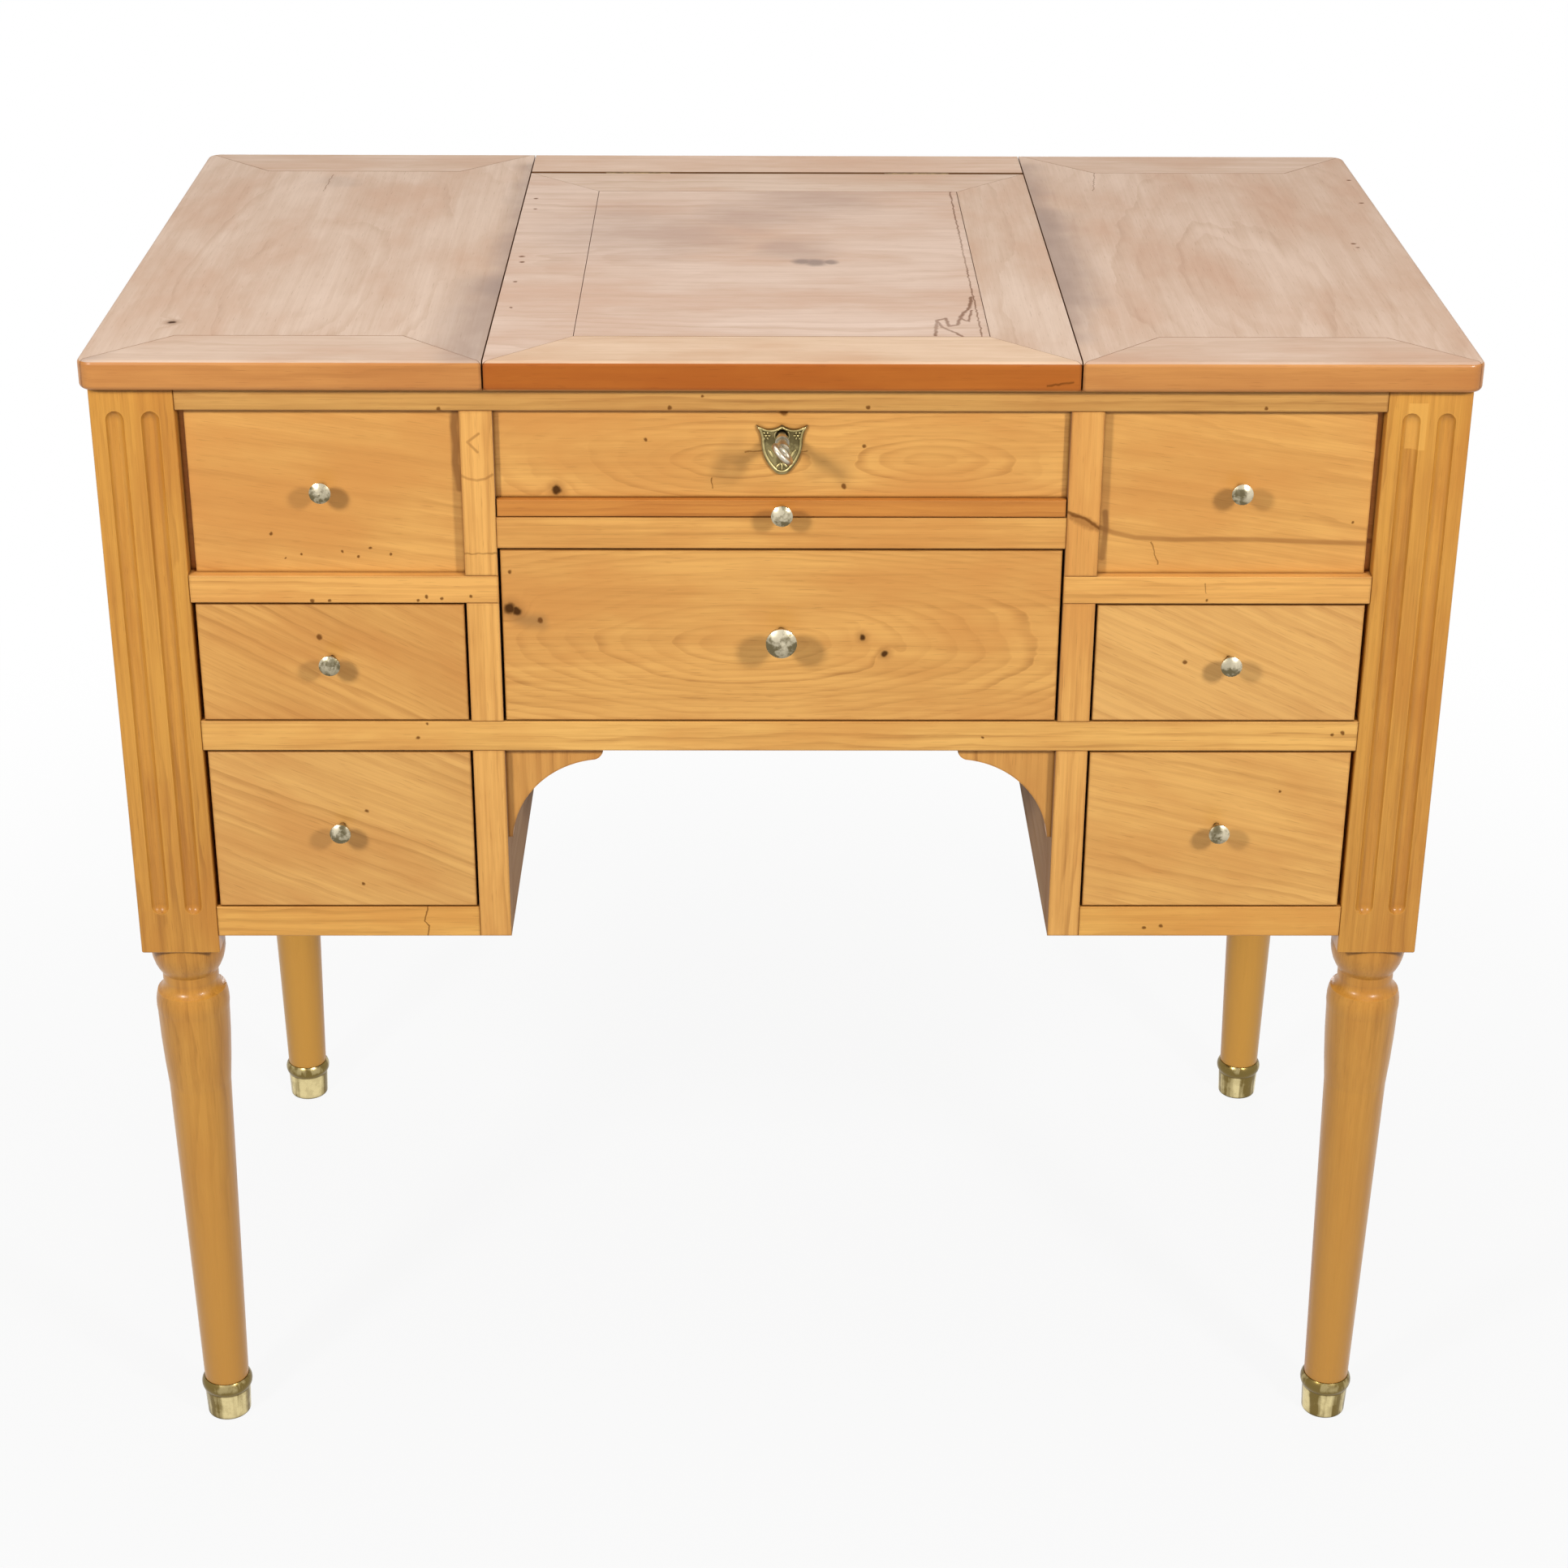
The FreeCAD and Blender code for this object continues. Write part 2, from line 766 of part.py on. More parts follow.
def key():
    """A key in the lock: ring bow, two collars, barrel and bit, turned to its angle at rest."""
    y_face = lock_panel_front - escutcheon_thickness
    y_bow = y_face - key_outside_length
    y_end = rail_back + lock_case_thickness - 2 * lock_case_wall
    barrel = Part.makeCylinder(key_barrel_radius, y_end - y_bow, V(0, y_bow, 0), Y_AXIS)
    collars = [Part.makeCylinder(key_collar_radius, key_collar_height, V(0, y, 0), Y_AXIS)
               for y in (y_bow, y_face - key_stop_offset)]
    bow_ring = key_bow_width / 2 - key_bow_wire
    bow_centre = V(0, y_bow - bow_ring, 0)
    bow = Part.makeTorus(bow_ring, key_bow_wire, bow_centre, Z_AXIS)
    bit_y = bolt_y - key_bit_width / 2
    bit = box(-key_bit_length, 0, bit_y, bit_y + key_bit_width, -key_bit_thickness / 2, key_bit_thickness / 2)
    body = joined(barrel, [*collars, bow, bit])
    body.rotate(ORIGIN, Y_AXIS, key_rest_angle)
    body.translate(V(0, 0, key_z))
    return body


# Hinges
class Hinge:
    """A butt hinge about local X: fixed leaf below local Z, moving leaf above, both reaching to local -Y."""

    def __init__(self, gap, knuckle_radius, pin_radius, turn_axis, turn, place):
        half = hinge_length / 2
        third = hinge_length / 3
        spans = [(-half, -half + third), (-half + third, half - third), (half - third, half)]
        self.knuckle_radius = knuckle_radius
        self.reach = knuckle_radius + knuckle_clearance
        fixed = self.leaf(-gap / 2 - hinge_leaf_thickness, [spans[0], spans[2]], pin_radius)
        moving = self.leaf(gap / 2, [spans[1]], pin_radius + knuckle_bore_clearance)
        pin = Part.makeCylinder(pin_radius, hinge_length, V(-half, 0, 0), X_AXIS)
        room = Part.makeCylinder(self.reach, hinge_length + 2 * knuckle_axial_gap,
                                 V(-half - knuckle_axial_gap, 0, 0), X_AXIS)
        plate = (-half, half, -hinge_leaf_width, 0)
        recess = box(*plate, -gap / 2 - hinge_leaf_thickness, -gap / 2)
        moving_recess = box(*plate, gap / 2, gap / 2 + hinge_leaf_thickness)
        shapes = [fixed, moving, pin, room, recess, moving_recess]
        for shape in shapes:
            shape.rotate(ORIGIN, turn_axis, turn)
            shape.translate(place)
        self.fixed, self.moving, self.pin, self.room, self.recess, self.moving_recess = shapes

    def leaf(self, z0, spans, bore_radius):
        half = hinge_length / 2
        z1 = z0 + hinge_leaf_thickness
        plate = box(-half, half, -hinge_leaf_width, -self.reach, z0, z1)
        for x0, x1 in spans:
            start = x0 + knuckle_axial_gap / 2
            end = x1 - knuckle_axial_gap / 2
            barrel = Part.makeCylinder(self.knuckle_radius, end - start, V(start, 0, 0), X_AXIS)
            tab = box(start, end, -self.reach, 0, z0, z1)
            plate = plate.fuse(tab).fuse(barrel)
        bore = Part.makeCylinder(bore_radius, hinge_length, V(-half, 0, 0), X_AXIS)
        return plate.cut(bore).removeSplitter()


flap_hinge_ys = (top_front + top_front_overhang + flap_hinge_inset + post_width, post_back_front - flap_hinge_inset)
flap_hinges = [Hinge(leaf_rest_gap, flap_knuckle_radius, flap_pin_radius, Z_AXIS, -90,
                     V(flap_axis_x, y, flap_axis_z))
               for y in flap_hinge_ys]
lid_hinge_gap = 2 * (lid_knuckle_radius - hinge_leaf_thickness)
lid_hinges = [Hinge(lid_hinge_gap, lid_knuckle_radius, lid_pin_radius, X_AXIS, 90,
                    V(x, lid_axis_y, lid_axis_z))
              for x in (-lid_hinge_centre, lid_hinge_centre)]


# Leaves of the top
def mitred_members(block, x0, x1, y0, y1, width, z0, z1):
    """Four frame members cut from a block, meeting at mitres with a hairline between them."""
    inner = [(x0 + width, y0 + width), (x1 - width, y0 + width), (x1 - width, y1 - width), (x0 + width, y1 - width)]
    outer = [(x0, y0), (x1, y0), (x1, y1), (x0, y1)]
    slip = mitre_gap / 2
    shifts = [((slip, 0), (-slip, 0)), ((0, slip), (0, -slip)), ((-slip, 0), (slip, 0)), ((0, -slip), (0, slip))]
    members = []
    for i in range(4):
        j = (i + 1) % 4
        corners = [(outer[i], 0), (outer[j], 1), (inner[j], 1), (inner[i], 0)]
        outline = [(x + shifts[i][end][0], y + shifts[i][end][1]) for (x, y), end in corners]
        members.append(block.common(prism_xy(outline, z0, z1)))
    return members


def leaf_tongue(x0, x1, y0, y1):
    middle = (leaf_bottom + table_height) / 2
    half = leaf_tongue_thickness / 2
    return box(x0, x1, y0, y1, middle - half, middle + half)


def framed_leaf(plate, x0, x1, y0, y1, cuts):
    """Four mitred members, and a flush panel whose tongue runs in their grooves."""
    width = frame_member_width
    inset = width + panel_gap
    reach = width - panel_tongue_length
    tongue = leaf_tongue(x0 + reach, x1 - reach, y0 + reach, y1 - reach)
    members = mitred_members(plate, x0, x1, y0, y1, width, leaf_bottom, table_height)
    field = box(x0 + inset, x1 - inset, y0 + inset, y1 - inset, leaf_bottom, table_height)
    return [cut_all(member, [tongue] + cuts) for member in members], joined(field, [tongue])


def clamped_leaf(plate, x0, x1, y0, y1, cuts):
    """Two end clamps with mitred corners, and the board between them, tongued into both."""
    width = frame_member_width
    slip = mitre_gap / 2
    reach = width - panel_tongue_length
    front, _, back, _ = mitred_members(plate, x0, x1, y0, y1, width, leaf_bottom, table_height)
    joint_y = y0 + width + panel_gap
    edge = [(x0, y0 + slip), (x0 + width, joint_y), (x1 - width, joint_y), (x1, y0 + slip)]
    outline = edge + [(x, y0 + y1 - y) for x, y in reversed(edge)]
    tongue = leaf_tongue(x0 + width, x1 - width, y0 + reach, y1 - reach)
    board = joined(plate.common(prism_xy(outline, leaf_bottom, table_height)), [tongue])
    return [clamp.cut(tongue) for clamp in (front, back)], cut_all(board, cuts)


def right_flap():
    plate = box(flap_inner, top_half, top_front, top_back, leaf_bottom, table_height)
    middle_z = (leaf_bottom + table_height) / 2
    half = top_thickness / 2
    plate = round_edges(plate, flap_corner_radius,
                        lambda edge: edge.x > top_half - pick_distance and abs(edge.z - middle_z) < pick_distance)
    plate = round_edges(plate, leaf_edge_radius,
                        lambda edge: edge.x > flap_inner + pick_distance
                        and abs(edge.z - middle_z) > half - pick_distance)
    cuts = []
    for hinge in flap_hinges:
        cuts += [hinge.moving_recess, hinge.room]
    return clamped_leaf(plate, flap_inner, top_half, top_front, top_back, cuts)


def lid():
    plate = box(-lid_edge, lid_edge, top_front, lid_back, leaf_bottom, table_height)
    plate = round_edges(plate, leaf_edge_radius,
                        lambda edge: edge.y < top_front + pick_distance and abs(edge.x) < pick_distance)
    plate = round_edges(plate, lid_joint_arris,
                        lambda edge: edge.y > lid_back - pick_distance and edge.z > table_height - pick_distance)
    cuts = [strike_recess(), bolt_mortise()] + [hinge.room for hinge in lid_hinges]
    return framed_leaf(plate, -lid_edge, lid_edge, top_front, lid_back, cuts)


def back_strip():
    strip = box(-lid_edge, lid_edge, strip_front, top_back, case_top, table_height)
    strip = round_edges(strip, leaf_edge_radius,
                        lambda edge: edge.y > top_back - pick_distance and abs(edge.x) < pick_distance)
    strip = round_edges(strip, lid_joint_arris,
                        lambda edge: edge.y < strip_front + pick_distance and edge.z > table_height - pick_distance)
    return cut_all(strip, [hinge.room for hinge in lid_hinges])


def strike_recess():
    return box(-strike_width / 2, strike_width / 2, bolt_y - strike_depth / 2, bolt_y + strike_depth / 2,
               leaf_bottom, leaf_bottom + strike_thickness)


def bolt_mortise():
    half = bolt_width / 2 + strike_slot_clearance
    depth = bolt_thickness / 2 + strike_slot_clearance
    return box(-half, half, bolt_y - depth, bolt_y + depth,
               leaf_bottom, bolt_top + bolt_throw + strike_slot_clearance)


def strike_plate():
    return strike_recess().cut(bolt_mortise())


# Mirror and its beads, under the lid
def mirror_place():
    border = frame_member_width + mirror_inset
    return -lid_edge + border, lid_edge - border, top_front + border, lid_back - border


def mirror():
    x0, x1, y0, y1 = mirror_place()
    return box(x0, x1, y0, y1, leaf_bottom - mirror_thickness, leaf_bottom)


def mirror_beads():
    x0, x1, y0, y1 = mirror_place()
    side = bead_width - bead_lip
    z0 = leaf_bottom - bead_height
    block = box(x0 - side, x1 + side, y0 - side, y1 + side, z0, leaf_bottom)
    block = round_edges(block, bead_height / 2, lambda edge: edge.z < z0 + pick_distance)
    edge = mirror_offset
    block = block.cut(box(x0 - edge, x1 + edge, y0 - edge, y1 + edge, leaf_bottom - mirror_thickness, leaf_bottom))
    return mitred_members(block, x0 - side, x1 + side, y0 - side, y1 + side, bead_width, z0, leaf_bottom)


# Drawers
def drawer_tails(x0, x1, y0, z0, z1, depth):
    """Dovetails of one drawer side, which are also the sockets in the drawer front."""
    span = z1 - z0 - 2 * dovetail_margin
    count = max(1, int((span - dovetail_neck) // dovetail_pitch) + 1)
    pitch = (span - dovetail_neck) / (count - 1) if count > 1 else 0
    tails = []
    for i in range(count):
        low = z0 + dovetail_margin + i * pitch
        if count == 1:
            low = (z0 + z1 - dovetail_neck) / 2
        high = low + dovetail_neck
        outline = [
            V(x0, y0, low),
            V(x0, y0 - depth, low - dovetail_flare),
            V(x0, y0 - depth, high + dovetail_flare),
            V(x0, y0, high),
            V(x0, y0, low),
        ]
        tails.append(Part.Face(Part.makePolygon(outline)).extrude(V(x1 - x0, 0, 0)))
    return tails


def drawer(x0, x1, z0, z1, gap_left, gap_right):
    """A drawer for the opening x0 to x1, z0 to z1: its front, and its two sides, back and bottom."""
    left = x0 + gap_left
    right = x1 - gap_right
    low = z0 + drawer_gap_bottom
    high = z1 - drawer_gap_top
    face = front_y + drawer_recess
    front_back = face + drawer_front_thickness
    back = back_inner - drawer_back_gap
    t = drawer_side_thickness
    side_top = high - drawer_side_drop
    groove = drawer_groove_depth
    bottom_z = low + drawer_bottom_rise
    bottom_top = bottom_z + drawer_bottom_thickness
    bottom = box(left + t - groove, right - t + groove, front_back - groove, back, bottom_z, bottom_top)
    front = soft_box(left, right, face, front_back, low, high, drawer_front_arris)
    boards = []
    for edge in (left, right - t):
        side = box(edge, edge + t, front_back, back, low, side_top)
        tails = drawer_tails(edge, edge + t, front_back, low, side_top, dovetail_length)
        front = cut_all(front, tails)
        boards.append(joined(side, tails).cut(bottom))
    board_back = box(left + t, right - t, back - t, back, bottom_top, side_top)
    front = front.cut(bottom)
    return front, boards + [board_back, bottom]


def drawer_knob(x0, x1, z0, z1, radius, projection):
    return knob((x0 + x1) / 2, front_y + drawer_recess, (z0 + z1) / 2 + knob_rise, radius, projection)


# Writing slide
def writing_slide():
    half = stile_inner - slide_side_gap
    return soft_box(-half, half, front_y + slide_recess, back_inner - slide_back_gap,
                    centre_rail_top + slide_height_gap, lock_panel_bottom - slide_height_gap)


def slide_knob():
    z = (centre_rail_top + lock_panel_bottom) / 2
    return knob(0, front_y + slide_recess, z, small_knob_radius, small_knob_projection)


def save_case():
    save("front_right_leg", [front_leg()])
    save("front_left_leg", [mirrored(front_leg())])
    save("back_right_leg", [back_leg()])
    save("back_left_leg", [mirrored(back_leg())])
    save("leg_sabots", sabots())
    save("top_rail", [full_rail(top_rail_bottom, case_top)])
    save("middle_rails", pair(side_rail_front(stile_inner, middle_rail_bottom, middle_rail_top)))
    save("centre_rail", [centre_rail()])
    save("main_rail", [full_rail(main_rail_bottom, main_rail_top)])
    save("bottom_rails", pair(side_rail_front(stile_outer, case_bottom, lower_opening_bottom)))
    save("front_stiles", front_stiles())
    save("partitions", pair(partition()))
    save("pedestal_sides", pair(pedestal_side()))
    rails = side_rails()
    save("side_rails", pair(rails[0]) + pair(rails[1]))
    save("side_panels", pair(side_panel()))
    save("back_panels", [upper_back()] + pair(pedestal_back()))
    save("well_floors", pair(side_well_floor()) + [centre_well_floor()])
    save("slide_shelf", [slide_shelf()])
    save("main_shelf", [main_shelf()])
    save("pedestal_floors", pair(pedestal_floor()))
    save("drawer_guides", drawer_guides())
    save("false_fronts", pair(false_front()))
    save("lock_panel", [lock_panel()])
    save("kneehole_brackets", pair(bracket()))
    save("false_front_knobs", false_front_knobs())
    save("escutcheon", [escutcheon()])
    save("lock_case", [lock_case()])
    save("top_back_strip", [back_strip()])
    bases = [hinge.fixed for hinge in lid_hinges] + [hinge.pin for hinge in lid_hinges]
    for hinge in flap_hinges:
        bases += pair(hinge.fixed) + pair(hinge.pin)
    save("hinge_bases", bases)


def save_top():
    members, panel = lid()
    save("lid_frame", members)
    save("lid_panel", [panel])
    save("mirror_glass", [mirror()])
    save("mirror_beads", mirror_beads())
    save("lid_hinge_leaves", [hinge.moving for hinge in lid_hinges])
    save("strike_plate", [strike_plate()])
    clamps, board = right_flap()
    leaves = [hinge.moving for hinge in flap_hinges]
    save("right_flap_clamps", clamps)
    save("right_flap_board", [board])
    save("right_flap_hinge_leaves", leaves)
    save("left_flap_clamps", [mirrored(clamp) for clamp in clamps])
    save("left_flap_board", [mirrored(board)])
    save("left_flap_hinge_leaves", [mirrored(leaf) for leaf in leaves])


def save_drawers():
    levels = {
        "middle": (main_rail_top, middle_rail_bottom),
        "lower": (lower_opening_bottom, main_rail_bottom),
    }
    for name, (z0, z1) in levels.items():
        front, boards = drawer(stile_outer, post_inner, z0, z1, drawer_gap_side, drawer_gap_post)
        pull = drawer_knob(stile_outer, post_inner, z0, z1, small_knob_radius, small_knob_projection)
        save(f"right_{name}_drawer_front", [front])
        save(f"right_{name}_drawer_box", boards)
        save(f"right_{name}_drawer_knob", [pull])
        save(f"left_{name}_drawer_front", [mirrored(front)])
        save(f"left_{name}_drawer_box", [mirrored(board) for board in boards])
        save(f"left_{name}_drawer_knob", [mirrored(pull)])
    opening = (-stile_inner, stile_inner, main_rail_top, centre_rail_bottom)
    front, boards = drawer(*opening, drawer_gap_side, drawer_gap_side)
    save("centre_drawer_front", [front])
    save("centre_drawer_box", boards)
    save("centre_drawer_knob", [drawer_knob(*opening, large_knob_radius, large_knob_projection)])
    save("writing_slide", [writing_slide()])
    save("slide_knob", [slide_knob()])


os.makedirs("parts", exist_ok=True)
save_case()
save_top()
save_drawers()
save("lock_bolt", [lock_bolt()])
save("key", [key()])
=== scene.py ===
"""Looks of the dressing table: waxed cherry wood, worn brass and a mirror, in a pale studio."""
import math

import bmesh
import bpy
from mathutils import Matrix, Vector


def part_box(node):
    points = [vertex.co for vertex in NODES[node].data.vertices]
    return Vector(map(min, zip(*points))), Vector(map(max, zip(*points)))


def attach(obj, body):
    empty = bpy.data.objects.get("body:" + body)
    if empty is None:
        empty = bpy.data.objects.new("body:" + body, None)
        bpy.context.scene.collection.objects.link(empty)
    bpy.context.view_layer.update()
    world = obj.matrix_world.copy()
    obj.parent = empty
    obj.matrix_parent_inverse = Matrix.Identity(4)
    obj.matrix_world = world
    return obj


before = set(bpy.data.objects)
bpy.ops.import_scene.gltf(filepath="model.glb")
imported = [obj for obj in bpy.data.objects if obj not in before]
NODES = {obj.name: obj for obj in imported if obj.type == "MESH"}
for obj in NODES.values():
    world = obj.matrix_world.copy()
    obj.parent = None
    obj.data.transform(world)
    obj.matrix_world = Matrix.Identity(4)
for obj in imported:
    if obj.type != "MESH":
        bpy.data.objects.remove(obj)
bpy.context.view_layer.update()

X = Vector((1, 0, 0))
Y = Vector((0, 1, 0))
Z = Vector((0, 0, 1))
MM = 0.001

# The front of the case, taken from the frame
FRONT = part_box("main_rail")[0].y

# Camera, worked out from the photograph: distance in front of the case, height, tilt and lens
CAMERA_PLACE = Vector((-0.016, FRONT - 1.650, 1.263))
CAMERA_PITCH = math.radians(25.52)
CAMERA_YAW = math.radians(0.63)
CAMERA_ROLL = math.radians(0.30)
SENSOR_WIDTH = 36.0
LENS = 70.2

# Wood in linear colour: the middle tone, then roughness, wax coat and shine
TONES = {
    "frame": {"colour": (0.66, 0.322, 0.079), "rough": 0.45, "coat": 0.12, "specular": 0.28},
    "front": {"colour": (0.62, 0.303, 0.074), "rough": 0.42, "coat": 0.14, "specular": 0.28},
    "post": {"colour": (0.535, 0.238, 0.037), "rough": 0.34, "coat": 0.22, "specular": 0.25},
    "slide": {"colour": (0.50, 0.188, 0.032), "rough": 0.42, "coat": 0.10, "specular": 0.28},
    # top is the wood's colour made paler and greyer: a painted sheen on the top faces
    "top": {"colour": (0.575, 0.408, 0.298), "rough": 0.72, "coat": 0.02, "specular": 0.20},
    "top_edge": {"colour": (0.48, 0.194, 0.045), "rough": 0.38, "coat": 0.20, "specular": 0.30},
    "lid_edge": {"colour": (0.38, 0.106, 0.012), "rough": 0.45, "coat": 0.05, "specular": 0.20},
    # shade is a darker copy of the wood for faces that stand in shade: painted shade, with old
    # darkening
    "shade": {"colour": (0.31, 0.172, 0.080), "rough": 0.75, "coat": 0.0, "specular": 0.15},
    "inner": {"colour": (0.40, 0.245, 0.112), "rough": 0.70, "coat": 0.0, "specular": 0.25},
}
UNTINTED = (1, 1, 1)

# Shares of the middle tone, and colours of dirt and damage and of the painted shade in corners
PALE_SHARE = (1.17, 1.24, 1.32)
DARK_SHARE = (0.52, 0.42, 0.32)
WARM_SHARE = (0.97, 0.86, 0.80)
STAIN_SHARE = (0.52, 0.52, 0.58)
SMUDGE_SHARE = (0.40, 0.40, 0.44)
PATCH_SHARE = (1.35, 1.55, 2.0)
KNOT_COLOUR = (0.034, 0.010, 0.003)
CRACK_COLOUR = (0.130, 0.040, 0.008)
DIRT_AND_SHADE_COLOUR = (0.130, 0.042, 0.008)

# Noise of the wood: scale along and across the grain, detail and roughness
RING_DRIFT = (2.4, 10.0, 2.0, 0.5)
RING_WOBBLE = (14.0, 50.0, 3.0, 0.5)
RING_STRENGTH = (5.0, 26.0, 2.0, 0.5)
STREAK = (4.0, 130.0, 3.0, 0.55)
FINE = (9.0, 420.0, 2.0, 0.5)
FIBRE = (22.0, 1300.0, 2.0, 0.6)
BLOTCH = (7.0, 16.0, 4.0, 0.6)
FLECK = (70.0, 1500.0, 1.0, 0.5)

# Year rings
SEED_STRIDE = 1.37
RING_SLANT = 0.35
RING_DRIFT_SHARE = 2.4
RING_WOBBLE_SHARE = 1.7
RING_OFFSET = 60.0
OVAL_SQUASH = 0.27
OVAL_BLEND = 1.5
KNOT_BEND = 6
LATE_BALANCE = 0.30

# Ranges of a value, with what they turn into where that isn't 0 to 1
LATE_RISE = (0.35, 0.88)
LATE_FALL = (0.90, 1.0, 1.0, 0.0)
STRENGTH_RANGE = (0.32, 0.66, 0.25, 1.0)
YEAR_RANGE = (0.0, 1.0, 0.40, 1.35)
FLECK_RANGE = (0.64, 0.76)
PALE_RANGE = (-0.5, 0.25)
DARK_RANGE = (0.05, 1.0, 0.0, 0.80)
WARM_RANGE = (0.42, 0.72, 0.0, 0.75)
EDGE_STREAKS = (0.30, 0.70)
STAIN_BLOTCH = (0.25, 0.65, 0.10, 0.36)
BAND_BLOTCH = (0.25, 0.65, 0.65, 1.0)
SEAM_BLOTCH = (0.25, 0.60, 0.5, 1.0)
CRACK_BLOTCH = (0.30, 0.60, 0.55, 1.0)
CREVICE_RANGE = (0.35, 0.95, 1.0, 0.0)
RUBBED_RANGE = (0.90, 0.995, 1.0, 0.0)

# Strengths of the grain's layers, of wear, of marks and of the painted shade in corners
STREAK_SHARE = 0.85
FINE_SHARE = 0.80
FIBRE_SHARE = 0.60
BLOTCH_SHARE = 1.35
FLECK_STRENGTH = 0.32
EDGE_LEAST = 0.40
EDGE_MOST = 0.85
DIRT_AND_SHADE_STRENGTH = 0.75
PATCH_STRENGTH = 0.7
BAND_STRENGTH = 0.7
SMUDGE_STRENGTH = 0.8
SEAM_STRENGTH = 0.8
KNOT_STRENGTH = 0.9
HALO_STRENGTH = 0.55
HOLE_STRENGTH = 0.85
CRACK_STRENGTH = 0.75

# Where marks are full and where they end, as shares of their radius or width
SPOT_CORE = 0.55
SPOT_EDGE = 1.35
STAIN_EDGE = 2.8
SMUDGE_EDGE = 1.8
HALO_EDGE = 3.2
SEAM_CORE = 0.3
CRACK_CORE = 0.2
CLOSED_EDGE = 2

# How far the outlines of marks stray, and the width of edges that wear
JITTER_SCALE = 220.0
JITTER_REACH = 2.6 * MM
DRIFT_SCALE = 28.0
STAIN_DRIFT = 40 * MM
BAND_DRIFT = 18 * MM
EDGE_WIDTH = 2 * MM
EDGE_SAMPLES = 4
CREVICE_SAMPLES = 6

# Surface of the wood
FINE_RELIEF = 0.6
FIBRE_RELIEF = 0.5
RELIEF_STRENGTH = 0.25
RELIEF_DEPTH = 0.28 * MM
ROUGHNESS_STREAK = 0.25
COAT_ROUGHNESS = 0.20

FRONT_PLANE = Vector((1, 0, 1))
TOP_PLANE = Vector((1, 1, 0))


def on_front(x, z):
    """A place on the front of the case, from millimetres."""
    return Vector((x, 0, z)) * MM


def on_top(x, depth):
    """A place on the table top, from millimetres across and back from the front of the case."""
    return Vector((x * MM, FRONT + depth * MM, 0))


